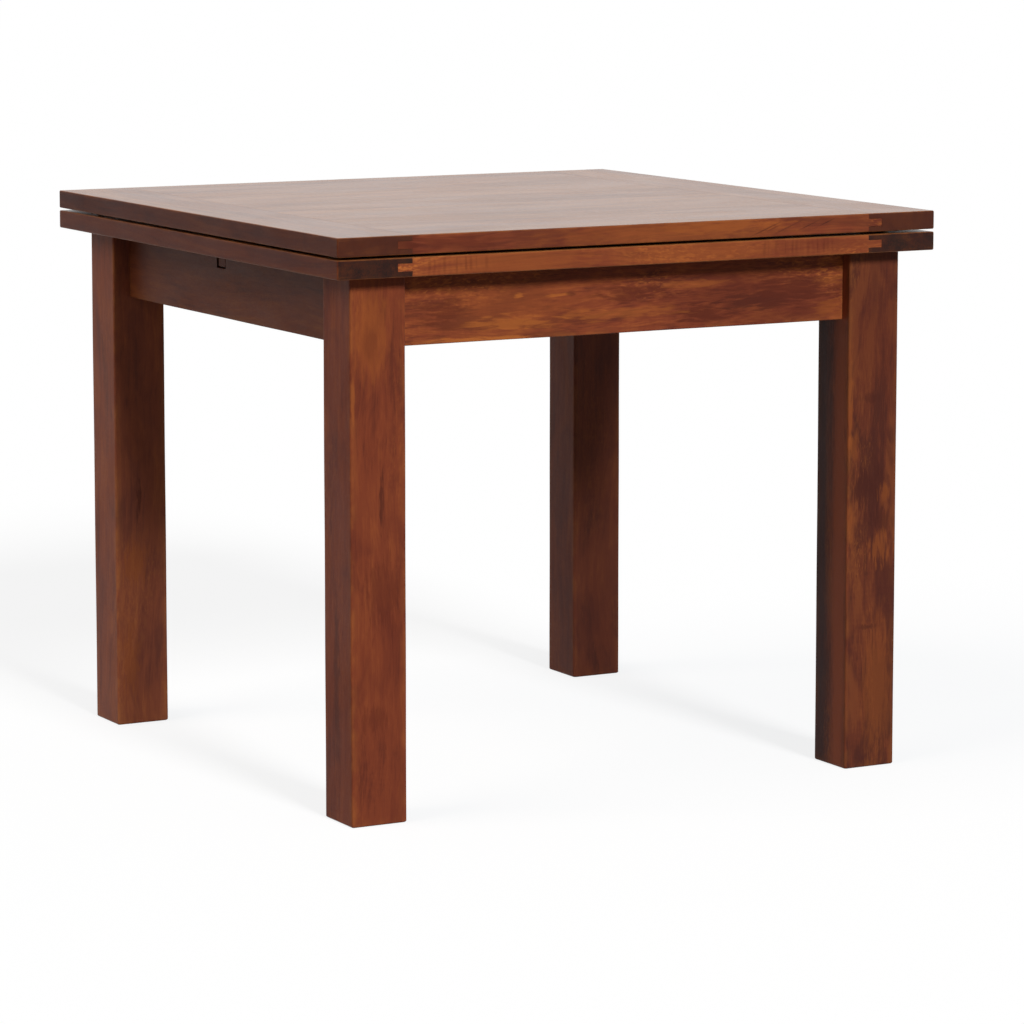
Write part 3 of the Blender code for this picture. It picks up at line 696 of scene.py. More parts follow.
    def make_mark(self) -> NodeTree:
        """One ragged patch of another colour, an ellipsoid about a centre that may lean in XZ.

        Returns:
            The group.
        """
        graph, given, wanted = self.begin(
            "stain_mark",
            {Kind.COLOUR: "Color Tint", Kind.VECTOR: "Point Centre Reach",
             Kind.FLOAT: "Lean Ragged Amount"},
            {Kind.COLOUR: "Color"})
        apart = graph.split(graph.vector("SUBTRACT", given["Point"], given["Centre"]))
        rise = graph.times(apart["X"], given["Lean"])
        leant = graph.fill(graph.add("CombineXYZ"), apart["X"], apart["Y"],
                           graph.math("SUBTRACT", apart["Z"], rise)).outputs[0]
        away = graph.vector("LENGTH", graph.vector("DIVIDE", leant, given["Reach"]))
        inside = graph.total(graph.math("SUBTRACT", MARK_END, away), given["Ragged"])
        mask = graph.times(graph.span(inside, 0.0, MARK_EDGE), given["Amount"])
        graph.put(wanted["Color"], graph.mix(mask, given["Color"], given["Tint"]))
        return graph.tree

    def make_end_grain(self) -> NodeTree:
        """Darker, speckled colour where a face cuts across the grain.

        Returns:
            The group.
        """
        graph, given, wanted = self.begin(
            "end_grain",
            {Kind.COLOUR: "Color Shade", Kind.VECTOR: "Vector", Kind.FLOAT: "Along"},
            {Kind.COLOUR: "Color"})
        mask = graph.span(graph.math("ABSOLUTE", given["Along"]), *ACROSS_GRAIN)
        clouds = graph.total(graph.noise(given["Vector"], END_SPECKS),
                             graph.noise(given["Vector"], END_CLOUDS))
        fresh = graph.mix(END_FRESH, given["Shade"], given["Color"])
        soaked = graph.mix(graph.span(clouds, *END_SOAK), given["Shade"], fresh)
        graph.put(wanted["Color"], graph.mix(mask, given["Color"], soaked))
        return graph.tree

    def make_worn_edge(self) -> NodeTree:
        """Arrises rubbed through to a lighter colour, in patches.

        Returns:
            The group.
        """
        graph, given, wanted = self.begin(
            "worn_edge",
            {Kind.COLOUR: "Color Rubbed", Kind.VECTOR: "Vector",
             Kind.FLOAT: "Arris Amount"},
            {Kind.COLOUR: "Color"})
        rubbed = graph.times(given["Arris"], graph.patches(given["Vector"], RUBBED))
        mask = graph.times(rubbed, given["Amount"])
        graph.put(wanted["Color"], graph.mix(mask, given["Color"], given["Rubbed"]))
        return graph.tree

    def make_handling(self) -> NodeTree:
        """Faint smears and dust that vary a surface's gloss.

        Returns:
            The group.
        """
        graph, given, wanted = self.begin(
            "handling", {Kind.VECTOR: "Vector", Kind.FLOAT: "Roughness Swing"},
            {Kind.FLOAT: "Roughness Haze"})
        smear = graph.noise(given["Vector"], SMEARS)
        dust = graph.noise(given["Vector"], DUST)
        swing = graph.math("ADD", graph.swing(smear, given["Swing"]), graph.swing(
            dust, graph.times(given["Swing"], DUST_SHARE)))
        graph.put(wanted["Roughness"], graph.math("ADD", given["Roughness"], swing, clamp=True))
        graph.put(wanted["Haze"], smear)
        return graph.tree

    def make_metal(self) -> NodeTree:
        """Fine brushing and patches of tarnish.

        Returns:
            The group.
        """
        graph, given, wanted = self.begin(
            "metal_surface",
            {Kind.VECTOR: "Vector Brush", Kind.COLOUR: "Clean Tarnish",
             Kind.FLOAT: "Roughness"},
            {Kind.COLOUR: "Color", Kind.FLOAT: "Roughness Relief"})
        brush = graph.noise(graph.vector("MULTIPLY", given["Vector"], given["Brush"]), BRUSHING)
        patch = graph.noise(given["Vector"], TARNISH)
        dull = graph.span(graph.total(patch, graph.swing(brush, BRUSH_IN_TARNISH)), *TARNISHED)
        graph.put(wanted["Color"], graph.mix(dull, given["Clean"], given["Tarnish"]))
        graph.put(wanted["Roughness"], graph.total(
            given["Roughness"], graph.swing(brush, BRUSH_ROUGHNESS),
            graph.times(dull, TARNISH_ROUGHNESS)))
        graph.put(wanted["Relief"], brush)
        return graph.tree

    def make_flecks(self) -> NodeTree:
        """Matted fibres or a dry bloom over a plain ground.

        Returns:
            The group.
        """
        graph, given, wanted = self.begin(
            "flecked_ground",
            {Kind.VECTOR: "Vector", Kind.FLOAT: "Size", Kind.COLOUR: "Ground Fleck"},
            {Kind.COLOUR: "Color", Kind.FLOAT: "Relief"})
        fibre = graph.noise(graph.vector("MULTIPLY", given["Vector"], given["Size"]), FIBRES)
        cloud = graph.noise(given["Vector"], FELT_CLOUDS)
        mask = graph.span(graph.total(fibre, graph.swing(cloud, FLECK_CLOUDS)), *FLECKED)
        graph.put(wanted["Color"], graph.mix(mask, given["Ground"], given["Fleck"]))
        graph.put(wanted["Relief"], fibre)
        return graph.tree


@dataclass(frozen=True)
class Gloss:
    """Shine of a wooden surface."""

    specular: float  # strength of the wood's own gloss
    roughness: float  # roughness of the wood's own gloss
    coat: float = 0.0  # weight of the lacquer on flats
    coat_roughness: float = 0.30  # roughness of the lacquer


class Lacquer(Enum):
    """How a wooden surface is finished."""

    SATIN = Gloss(0.07, 0.48)
    POLISHED = Gloss(0.07, 0.46, 0.73, 0.24)
    BARE = Gloss(0.20, 0.62)


@dataclass(frozen=True)
class Stain:
    """Colours of one stained wood."""

    dark: Colour
    middle: Colour
    light: Colour
    heartwood: Colour
    gold: Colour
    end: Colour
    rubbed: Colour

    def toned(self, depth: float, warmth: float = 1.0, painted_haze: float = 0.0) -> "Stain":
        """Give the same stain on a darker or paler board, with grey painted haze added.

        Args:
            depth: Factor on every colour.
            warmth: Factor on the red alone.
            painted_haze: Grey added to every colour, a painted reflection haze that lifts the
                darks.

        Returns:
            The toned stain.
        """
        factor = np.array([depth * warmth, depth, depth])
        return Stain(*(tuple((np.array(shade) * factor + painted_haze).tolist())
                       for shade in astuple(self)))


CHESTNUT = Stain(dark=(0.118, 0.028, 0.016), middle=(0.192, 0.044, 0.020),
                 light=(0.262, 0.067, 0.024), heartwood=(0.105, 0.023, 0.015),
                 gold=(0.500, 0.150, 0.035), end=(0.028, 0.011, 0.009),
                 rubbed=(0.340, 0.110, 0.030))
PLANED = Stain(dark=(0.240, 0.130, 0.062), middle=(0.330, 0.190, 0.095),
               light=(0.420, 0.260, 0.140), heartwood=(0.230, 0.120, 0.060),
               gold=(0.460, 0.290, 0.150), end=(0.150, 0.080, 0.040),
               rubbed=(0.450, 0.290, 0.160))
RUNNER_END = (0.120, 0.034, 0.016)  # sawn end of the runner, brighter than its stain: painted light where it sits shaded in the notch
UPPER_END_GRAIN = (0.062, 0.019, 0.012)
LOWER_END_GRAIN = (0.018, 0.010, 0.009)


class Tint(Enum):
    """Colours of marks in the figure, and of painted shade and painted light on the right front
    leg's left face.
    """

    # Near black, used only as painted shade on the back half of the right front leg's left face.
    BLACK = (0.036, 0.014, 0.013)
    DARK = (0.052, 0.014, 0.010)
    RED = (0.092, 0.020, 0.011)
    # Used only as painted light on the front half of that face, which lies in shade.
    BROWN = (0.275, 0.068, 0.028)
    AMBER = (0.290, 0.080, 0.020)
    GOLD = (0.480, 0.145, 0.030)


class Face(Enum):
    """Upright face of a piece that a mark lies on."""

    FRONT = "front"
    LEFT = "left"


@dataclass(frozen=True)
class Mark:
    """A knot, streak, bright patch, painted shade or painted light at one place on a board's face.
    """

    tint: Tint
    along: float  # distance of its middle from the face's middle, to the right or to the back
    up: float  # height of its middle over the piece's lower end
    half: Span  # half its length along the face and half its height
    amount: float  # its strength
    ragged: float = 3.0  # raggedness of its outline
    lean: float = 0.0  # rise along X of a mark that runs askew
    face: Face = Face.FRONT
    depth: float = 0.03  # how far it goes into the wood

    def ellipsoid(self, node: str) -> tuple[Triple, Triple]:
        """Give its middle and half lengths in the table's frame.

        Args:
            node: CAD node of the marked piece.

        Returns:
            The middle and the half lengths along X, Y and Z.
        """
        low, high = node_box(node)
        middle = (low + high) / 2
        height = float(low[2]) + self.up
        if self.face is Face.FRONT:
            return ((float(middle[0]) + self.along, float(low[1]), height),
                    (self.half[0], self.depth, self.half[1]))
        return ((float(low[0]), float(middle[1]) + self.along, height),
                (self.depth, self.half[0], self.half[1]))


STREAK_SHIFT, SHIFT_TURN = 0.40, 5.0  # uneven steps: share of a step, turn of the sine
STREAK_SWELL, SWELL_TURN = 0.5, 3.7  # uneven widths: share of the width, turn of the sine
STREAK_FADE = (0.9, 0.6)  # strength of a streak, and its change with the shift
STREAK_RAGGED = 1.4


def streaks(tint: Tint, first: Span, step: Span, count: int, half: Span, amount: float,
            lean: float = 0.0) -> tuple[Mark, ...]:
    """Lay a row of thin marks, spread and widened unevenly by sines of their number.

    Args:
        tint: Their colour.
        first: Place of the first one, along and up.
        step: Distance from one to the next, along and up.
        count: How many there are.
        half: Half the length and height of each.
        amount: Their strength.
        lean: Rise along X of each.

    Returns:
        The marks in order.
    """
    number = np.arange(count)
    shift = STREAK_SHIFT * np.sin(SHIFT_TURN * number)
    along = (first[0] + (number + shift) * step[0]).tolist()
    up = (first[1] + number * step[1]).tolist()
    length = (half[0] * (1.0 + STREAK_SWELL * np.sin(SWELL_TURN * number + 1.0))).tolist()
    strength = (amount * (STREAK_FADE[0] + STREAK_FADE[1] * shift)).tolist()
    return tuple(Mark(tint, along[n], up[n], (length[n], half[1]), strength[n], STREAK_RAGGED, lean)
                 for n in range(count))


@dataclass(frozen=True)
class StainedWood:
    """Stained and finished board."""

    node: str  # CAD node that it finishes
    grain: Grain
    seed: float  # picks the part of the figure
    stain: Stain = CHESTNUT
    lacquer: Lacquer = Lacquer.SATIN
    blotch: float = 1.25  # strength of broad patches
    streak: float = 0.55  # strength of streaks along the grain
    fine: float = 0.34  # strength of fine lines along the grain
    length: float = 1.0  # length of patches and streaks beside that in a leg
    curl: float = 0.02  # strength of ripples across the grain
    wear: float = 0.35  # wear of the arrises
    heart: float = 0.60  # strength of dark heartwood
    gleam: float = 0.70  # strength of golden flecks
    staves: float = 0.0  # width of glued staves, or 0 for one board
    edge_depth: float = 1.0  # brightness of upright faces beside that of the flats
    faded: float = 0.0  # how far the flats have faded to a yellower brown
    marks: tuple[Mark, ...] = ()

    def make(self, effects: Effects) -> Material:
        """Build the material.

        Args:
            effects: Shared node groups.

        Returns:
            The material.
        """
        made, graph, shader = new_material(f"{self.node}_finish")
        coords = graph.add("TexCoord").outputs
        place, tone, figure = self.lay_figure(graph, effects, coords["Object"])
        colour = graph.group(
            effects.stain, Tone=tone,
            Heart=graph.times(figure["Heart"], self.heart),
            Gleam=graph.times(figure["Gleam"], self.gleam),
            Dark=self.stain.dark, Middle=self.stain.middle, Light=self.stain.light,
            Heartwood=self.stain.heartwood, Gold=self.stain.gold)["Color"]
        edge = graph.noise(place, RAGGED_EDGES) if self.marks else None
        for mark in self.marks:
            centre, reach = mark.ellipsoid(self.node)
            colour = graph.group(
                effects.mark, Color=colour, Point=coords["Object"], Centre=centre, Reach=reach,
                Lean=mark.lean, Ragged=graph.swing(edge, mark.ragged), Amount=mark.amount,
                Tint=mark.tint.value)["Color"]
        facing = graph.split(coords["Normal"])
        level = graph.math("ABSOLUTE", facing["Z"])
        upright = graph.span(level, *UPRIGHT)
        deep = graph.mix(graph.times(upright, 1.0 - self.edge_depth), colour, BLACK)
        pale = graph.mix(graph.span(tone, *FADED_TONES), FADED_DARK, FADED_LIGHT)
        flat = graph.math("SUBTRACT", 1.0, upright)
        colour = graph.mix(graph.times(flat, self.faded), deep, pale)
        colour = graph.group(effects.end_grain, Color=colour, Vector=place,
                             Along=facing[self.grain.name], Shade=self.stain.end)["Color"]
        arris = graph.add("Attribute", attribute_name="arris", attribute_type="GEOMETRY")
        worn = graph.group(effects.worn_edge, Color=colour, Arris=arris.outputs["Fac"],
                           Vector=place, Amount=self.wear, Rubbed=self.stain.rubbed)
        graph.wire(shader, Base_Color=worn["Color"])
        self.polish(graph, effects, shader, place, level)
        graph.bump(shader, figure["Relief"], *WOOD_BUMP)
        return made

    def lay_figure(self, graph: Graph, effects: Effects,
                   point: NodeSocket) -> tuple[Any, Any, Any]:
        """Lay the figure along the grain, stave by stave on a board that is glued up.

        Args:
            graph: The material's graph.
            effects: Shared node groups.
            point: Place in the table's frame.

        Returns:
            The place in the figure, the tone and the figure's outputs.
        """
        mapping = graph.wire(graph.add("Mapping", vector_type="POINT"), Vector=point,
                             Rotation=self.grain.value)
        place = mapping.outputs["Vector"]
        staves: Any = None
        if self.staves:
            staves = graph.group(effects.staves, Vector=place, Width=self.staves, Seed=self.seed)
            shift = graph.vector("MULTIPLY", staves["Pick"], STAVE_SHIFT)
            place = graph.vector("ADD", place, shift)
        figure = graph.group(effects.figure, Vector=place, Seed=self.seed,
                             Draw=(1.0 / self.length, 1.0, 1.0), Blotch=self.blotch,
                             Streak=self.streak, Fine=self.fine, Rings=RING_STRENGTH,
                             Curl=self.curl)
        tone = figure["Tone"]
        if staves:
            shaded = graph.math("ADD", tone, graph.swing(staves["Shade"], STAVE_CONTRAST))
            tone = graph.math("SUBTRACT", shaded,
                              graph.times(staves["Joint"], JOINT_DEPTH))
        return place, tone, figure

    def polish(self, graph: Graph, effects: Effects, shader: Node, place: Any,
               level: NodeSocket) -> None:
        """Set the gloss, and lay the lacquer on the flats.

        Args:
            graph: The material's graph.
            effects: Shared node groups.
            shader: The surface shader.
            place: Place in the figure.
            level: Share of the surface's normal along Z.
        """
        gloss = self.lacquer.value
        handling = graph.group(effects.handling, Vector=place, Roughness=gloss.roughness,
                               Swing=WOOD_SMEARS)
        graph.wire(shader, Roughness=handling["Roughness"], Specular_IOR_Level=gloss.specular,
                   Coat_Roughness=gloss.coat_roughness)
        if gloss.coat:
            film = graph.span(handling["Haze"], *HAZE, THIN_FILM * gloss.coat, gloss.coat)
            graph.wire(shader, Coat_Weight=graph.times(graph.span(level, *FLAT), film))


@dataclass(frozen=True)
class Metal:
    """Brushed or plated metal."""

    name: str
    colour: Colour  # clean colour
    tarnish: Colour  # colour where it has dulled
    roughness: float
    brush: Triple  # counts per metre of the brushing along each axis

    def make(self, effects: Effects) -> Material:
        """Build the material.

        Args:
            effects: Shared node groups.

        Returns:
            The material.
        """
        made, graph, shader = new_material(self.name)
        point = graph.add("TexCoord").outputs["Object"]
        surface = graph.group(effects.metal, Vector=point, Brush=self.brush, Clean=self.colour,
                              Tarnish=self.tarnish, Roughness=self.roughness)
        graph.wire(shader, Metallic=1.0, Base_Color=surface["Color"],
                   Roughness=surface["Roughness"])
        graph.bump(shader, surface["Relief"], *METAL_BUMP)
        return made


@dataclass(frozen=True)
class SoftStuff:
    """Felt or rubber."""

    name: str
    colour: Colour  # darker colour
    fleck: Colour  # colour of its fibres or bloom
    size: float  # counts per metre of its flecks
    sheen: float  # weight of the soft sheen of loose fibres
    relief: float  # height of its bumps
    roughness: float

    def make(self, effects: Effects) -> Material:
        """Build the material.

        Args:
            effects: Shared node groups.

        Returns:
            The material.
        """
        made, graph, shader = new_material(self.name)
        point = graph.add("TexCoord").outputs["Object"]
        flecks = graph.group(effects.flecks, Vector=point, Size=self.size, Ground=self.colour,
                             Fleck=self.fleck)
        handling = graph.group(effects.handling, Vector=point, Roughness=self.roughness,
                               Swing=SOFT_SMEARS)
        graph.wire(shader, Base_Color=flecks["Color"], Roughness=handling["Roughness"],
                   Sheen_Weight=self.sheen, Specular_IOR_Level=SOFT_SPECULAR)
        graph.bump(shader, flecks["Relief"], SOFT_BUMP, self.relief)
        return made


SATIN_BRASS = Metal("satin_brass", colour=(0.610, 0.410, 0.140), tarnish=(0.420, 0.265, 0.090),
                    roughness=0.34, brush=(900.0, 40.0, 900.0))
ZINC_STEEL = Metal("zinc_steel", colour=(0.480, 0.480, 0.500), tarnish=(0.290, 0.290, 0.305),
                   roughness=0.40, brush=(260.0, 260.0, 260.0))
BROWN_FELT = SoftStuff("brown_felt", colour=(0.030, 0.017, 0.010), fleck=(0.080, 0.046, 0.028),
                       size=900.0, sheen=0.05, relief=0.0003, roughness=0.95)
SOFT_RUBBER = SoftStuff("soft_rubber", colour=(0.045, 0.042, 0.038), fleck=(0.085, 0.080, 0.074),
                        size=350.0, sheen=0.0, relief=0.00004, roughness=0.70)

RIM_SHARE = 0.97  # of a section's half width: points beyond it lie on a face
HOLLOWS = 23.0  # radians per metre of the hand-planed hollows
HOLLOW_PHASE = (1.7, 4.1)
HOLLOW_SPREAD = 40.0  # radians per metre by which the hollows differ from board to board


@dataclass
class Board:
    """A straight piece with a rectangular section, lofted along one axis."""

    low: Array  # lowest corner
    high: Array  # highest corner
    axis: int  # axis of its length
    # Radii of its long edges, from the low-low corner round
    radii: tuple[float, float, float, float] = (SHARP, SHARP, SHARP, SHARP)
    ease: Span = (SHARP, SHARP)  # radii of its two ends
    sway: float = 0.0001  # depth of the hand-planed hollows in its long faces

    def cross(self) -> list[int]:
        """Give the two axes of the section."""
        return [axis for axis in range(3) if axis != self.axis]

    def skin(self) -> Shell:
        """Carry the eased section along the length.

        Returns:
            The board's closed skin.
        """
        across = self.cross()
        corners = rectangle(self.low[across], self.high[across])[None]
        section, near = eased_section(corners, np.array(self.radii))
        path = Path.between(self.low[self.axis], self.high[self.axis], self.ease)
        return self.carry(np.repeat(section, len(path.along), axis=0), near, path)

    def carry(self, sections: Array, near: Array, path: Path) -> Shell:
        """Place sections at the stations of a path and draw in its ends.

        Each face is hollowed by half the sway times (1 + sine of the distance along), so it never
        stands proud of its node.

        Args:
            sections: One outline for each station.
            near: Arris values of the outline's points.
            path: The stations.

        Returns:
            The closed skin.
        """
        across = self.cross()
        middle = (self.low + self.high)[across] / 2
        half = (self.high - self.low)[across] / 2
        centred = sections - middle
        rim = np.abs(centred) > half * RIM_SHARE
        phase = np.array(HOLLOW_PHASE) + self.low[:2].sum() * HOLLOW_SPREAD
        wave = 0.5 + 0.5 * np.sin(path.along[:, None] * HOLLOWS + phase)
        pull = path.inset[:, None, None] + self.sway * wave[:, None, :] * rim
        rings = np.empty((*sections.shape[:2], 3))
        rings[..., across] = centred * (1 - pull / half) + middle
        rings[..., self.axis] = path.along[:, None]
        return loft(rings, combined(near, path.arris))


@dataclass
class Leaf:
    """One leaf of the top: a field with tongues, between two grooved breadboard ends."""

    name: str  # lower or upper
    mating: int  # 1 where the other leaf lies on top of it, -1 where it lies underneath
    tongue: float = 0.021  # length of a tongue
    tongue_thick: float = 0.010
    seam: float = 0.00003  # what the finish leaves open of the gap at a shoulder
    ease: float = 0.002  # radius of the outer arrises
    bed_depth: float = 0.0021  # depth of the beds for the hinge plates
    bed_width: float = 0.028  # width of the strip along the edge that holds the beds
    bed_step: float = 0.004  # width of the strip's inner margin where there is no bed
    skin_share: float = 0.7  # share of half the thickness beyond which a point lies on a face
    field_fade: Span = (0.0015, 0.0030)  # how far the field's arrises reach
    end_fade: Span = (0.0012, 0.0030)  # how far the breadboard ends' arrises reach

    def field(self) -> Shell:
        """Carry the field's section, a board with a tongue at each end, from front to back.

        Only points near the upper and lower faces are drawn in at the front and back edges, by
        the rounding's depth, so that the tongues stay full.

        Returns:
            The field's closed skin.
        """
        low, high = node_box(f"{self.name}_field")
        middle = (low[2] + high[2]) / 2
        cheek = self.tongue_thick / 2
        right, tip = high[0] - self.tongue + FIT - self.seam, high[0]
        half = np.array([[right, low[2]], [right, middle - cheek], [tip, middle - cheek],
                         [tip, middle + cheek], [right, middle + cheek], [right, high[2]]])
        corners = np.concatenate([half, half[::-1] * (-1, 1)])
        section, near = eased_section(corners[None], np.full(len(corners), SHARP),
                                      fade=self.field_fade)
        path = Path.between(low[1], high[1], (self.ease, self.ease))
        return self.carry(np.repeat(section, len(path.along), axis=0), np.zeros_like(near), path,
                          middle, high[2] - middle, 0.0)

    def carry(self, sections: Array, near: Array, path: Path, middle: float, half: float,
              rim: float) -> Shell:
        """Place sections in XZ at stations along Y.

        Args:
            sections: One outline for each station.
            near: Arris values of the outline's points.
            path: The stations.
            middle: Height of the leaf's middle.
            half: Half its thickness.
            rim: Outer X that is drawn in at the ends, or 0 for none.

        Returns:
            The closed skin.
        """
        height = sections[..., 1] - middle
        skin = np.abs(height) > self.skin_share * half
        height = height - np.sign(height) * skin * path.inset[:, None]
        rings = np.empty((*sections.shape[:2], 3))
        rings[..., 0] = sections[..., 0]
        if rim:
            outer = np.abs(sections[..., 0]) > abs(rim) - 2 * self.ease
            rings[..., 0] -= math.copysign(1.0, rim) * outer * path.inset[:, None]
        rings[..., 1] = path.along[:, None]
        rings[..., 2] = middle + height
        return loft(rings, combined(near, path.arris))

    def breadboard_end(self, side: str, beds: Sequence[Span] = (), bed_inner: float = 0.0) -> Shell:
        """Carry a breadboard end's section, a board with a groove, from front to back.

        Where a hinge plate lies the section has a step of the plate's depth in its mating face.

        Args:
            side: left or right.
            beds: Spans along Y of the hinge plates' beds.
            bed_inner: X of the beds' inner edge.

        Returns:
            The end's closed skin.
        """
        low, high = node_box(f"{self.name}_{side}_end")
        sign = 1.0 if side == "right" else -1.0
        joint, rim = (low[0], high[0]) if side == "right" else (high[0], low[0])
        middle = (low[2] + high[2]) / 2
        half = (high[2] - low[2]) / 2
        groove = self.mating * (self.tongue_thick / 2 + FIT)
        root = joint + sign * self.tongue
        face = self.mating * half
        path = Path.between(low[1], high[1], (self.ease, self.ease),
                            breaks=[edge for bed in beds for edge in bed])
        inner = bed_inner or rim - sign * self.bed_width
        plain = np.array([[joint, -face], [rim, -face], [rim, face],
                          [inner + sign * self.bed_step, face], [inner, face], [joint, face],
                          [joint, groove], [root, groove], [root, -groove], [joint, -groove]])
        stepped = plain.copy()
        stepped[2:4, 1] -= self.mating * self.bed_depth
        stepped[3, 0] = inner
        in_bed = np.zeros(len(path.along), bool)
        for bed in beds:
            in_bed |= path.within(*bed)
        corners = np.where(in_bed[:, None, None], stepped, plain)
        radii = np.full(len(plain), SHARP)
        radii[1:3] = self.ease
        sections, near = eased_section(corners, radii, fade=self.end_fade)
        sections[..., 1] += middle
        near = near.reshape(len(plain), -1) * (radii > SHARP)[:, None]
        return self.carry(sections, near.ravel(), path, middle, half, rim)

    def build(self, shop: Workshop, woods: Finishes, beds: Sequence[Span],
              bed_inner: float) -> None:
        """Make the leaf's three boards.

        Args:
            shop: Makes the pieces.
            woods: Material of each board by its node.
            beds: Spans of the hinge plates' beds, which lie in the right end.
            bed_inner: X of the beds' inner edge.
        """
        skins = {f"{self.name}_field": self.field(),
                 f"{self.name}_left_end": self.breadboard_end("left"),
                 f"{self.name}_right_end": self.breadboard_end("right", beds, bed_inner)}
        for node, skin in skins.items():
            shop.stand_in(node, "board", skin, woods[node], f"{self.name}_leaf")


@dataclass
class Underframe:
    """Legs and aprons."""

    body: str = "base"
    leg_ease: float = 0.0025  # radius of the legs' arrises
    leg_flat: float = 0.012  # width of the flat on a leg's inner corner, along each face
    inner_cut: float = 0.0026  # cut of the inner corner below that flat
    inner_ease: float = 0.0012  # radius at the edges of either cut
    leg_sway: float = 0.00025  # depth of the hollows in a leg
    apron_ease: float = 0.0015  # radius of the aprons' lower arrises
    apron_sway: float = 0.0002  # depth of the hollows in an apron
    notch_side: float = 0.0035  # room beside the runner in the left apron's notch
    notch_below: float = 0.002  # room under the runner

    def leg(self, corner: str) -> Shell:
        """Carry a leg's square section up from the floor.

        Beside the corner brace the inner corner is cut off by a flat; below it the same two
        corners lie close together, as an eased arris.

        Args:
            corner: Name of the leg's corner, such as front_left.

        Returns:
            The leg's closed skin.
        """
        low, high = node_box(f"{corner}_leg")
        flat_low = node_box(f"{corner}_brace")[0][2] - FIT
        signs = corner_signs(corner)
        outer = np.where(signs > 0, high[:2], low[:2])
        inner = np.where(signs > 0, low[:2], high[:2])
        path = Path.between(low[2], high[2], (self.leg_ease, SHARP), breaks=[flat_low])
        cut = np.where(path.along > flat_low, self.leg_flat, self.inner_cut)
        square = np.array([outer, (inner[0], outer[1]), inner, inner, (outer[0], inner[1])])
        corners = np.tile(square, (len(path.along), 1, 1))
        corners[:, 2, 1] += signs[1] * cut
        corners[:, 3, 0] += signs[0] * cut
        radii = np.full(len(square), self.leg_ease)
        radii[2:4] = self.inner_ease
        sections, near = eased_section(corners, radii)
        return Board(low, high, 2, sway=self.leg_sway).carry(sections, near, path)

    def notch(self) -> tuple[Span, float]:
        """Give the span along Y and the floor of the runner's notch in the left apron."""
        low, high = node_box("slide_runner")
        return (low[1] - self.notch_side, high[1] + self.notch_side), low[2] - self.notch_below

    def apron(self, name: str) -> Shell:
        """Carry an apron's section from leg to leg, with the runner's notch in the left one.

        Args:
            name: front, back, left or right.

        Returns:
            The apron's closed skin.
        """
        axis = 0 if name in ("front", "back") else 1
        across = [1 - axis, 2]
        low, high = node_box(f"{name}_apron")
        low[axis], high[axis] = self.between_legs(name, axis)
        span, floor = self.notch() if name == "left" else ((), 0.0)
        path = Path.between(low[axis], high[axis], (SHARP, SHARP), breaks=span)
        corners = np.tile(rectangle(low[across], high[across]), (len(path.along), 1, 1))
        if span:
            corners[path.within(*span), 2:, 1] = floor
        radii = np.array([self.apron_ease, self.apron_ease, SHARP, SHARP])
        sections, near = eased_section(corners, radii)
        near = near.reshape(len(radii), -1) * (radii > SHARP)[:, None]
        return Board(low, high, axis, sway=self.apron_sway).carry(sections, near.ravel(), path)

    @staticmethod
    def between_legs(name: str, axis: int) -> Span:
        """Give the ends of an apron at the faces of its two legs.

        Args:
            name: front, back, left or right.
            axis: Axis of the apron's length.

        Returns:
            Its lower and its upper end.
        """
        pair = (f"{name}_left_leg", f"{name}_right_leg") if axis == 0 else (
            f"front_{name}_leg", f"back_{name}_leg")
        return node_box(pair[0])[1][axis] + FIT, node_box(pair[1])[0][axis] - FIT

    def build(self, shop: Workshop, woods: Finishes) -> None:
        """Make the four legs and the four aprons.

        Args:
            shop: Makes the pieces.
            woods: Material of each leg and apron by its node.
        """
        for corner in CORNERS:
            node = f"{corner}_leg"
            shop.stand_in(node, "post", self.leg(corner), woods[node], self.body)
        for name in ("front", "back", "left", "right"):
            node = f"{name}_apron"
            shop.stand_in(node, "board", self.apron(name), woods[node], self.body)


STEEP = 0.9  # share of a direction along Z above which it counts as upright
UP = (0.0, 0.0, 1.0)
DOWN = (0.0, 0.0, -1.0)
ALONG_X = (1.0, 0.0, 0.0)


@dataclass(frozen=True)
class Stand:
    """A place in the table's frame along whose axis a piece's own Z is laid."""

    origin: Triple  # where the piece's own origin goes
    axis: Triple  # direction of its Z
    turn: float = 0.0  # turn about its Z, in radians

    def place(self, points: Array) -> Array:
        """Carry a piece's own points into the table's frame.

        Args:
            points: Points in the piece's own frame.

        Returns:
            The same points in the table's frame.
        """
        along = np.array(self.axis, float) / np.linalg.norm(self.axis)
        first = np.cross(UP if abs(along[2]) < STEEP else ALONG_X, along)
        first /= np.linalg.norm(first)
        second = np.cross(along, first)
        cos, sin = math.cos(self.turn), math.sin(self.turn)
        basis = np.stack([cos * first + sin * second, cos * second - sin * first, along])
        return points @ basis + np.array(self.origin)


def round_rings(radii: Array, heights: Array) -> Array:
    """Stack rings about Z: x = r cos t, y = r sin t at each height.

    Args:
        radii: Radius of every point, shaped (rows, points).
        heights: Height of each ring.

    Returns:
        The rings, shaped (rows, points, 3).
    """
    turn = np.linspace(0.0, 2 * math.pi, radii.shape[1], endpoint=False)
    level = np.broadcast_to(heights[:, None], radii.shape)
    return np.stack([radii * np.cos(turn), radii * np.sin(turn), level], axis=-1)


def plain_loft(rings: Array, stand: Stand) -> Shell:
    """Skin rings at a place, with no worn arrises."""
    return loft(stand.place(rings), np.zeros(rings.shape[:2]))


class Drive(Enum):
    """Recess in a screw's head."""

    SLOT = "slot"
    CROSS = "cross"


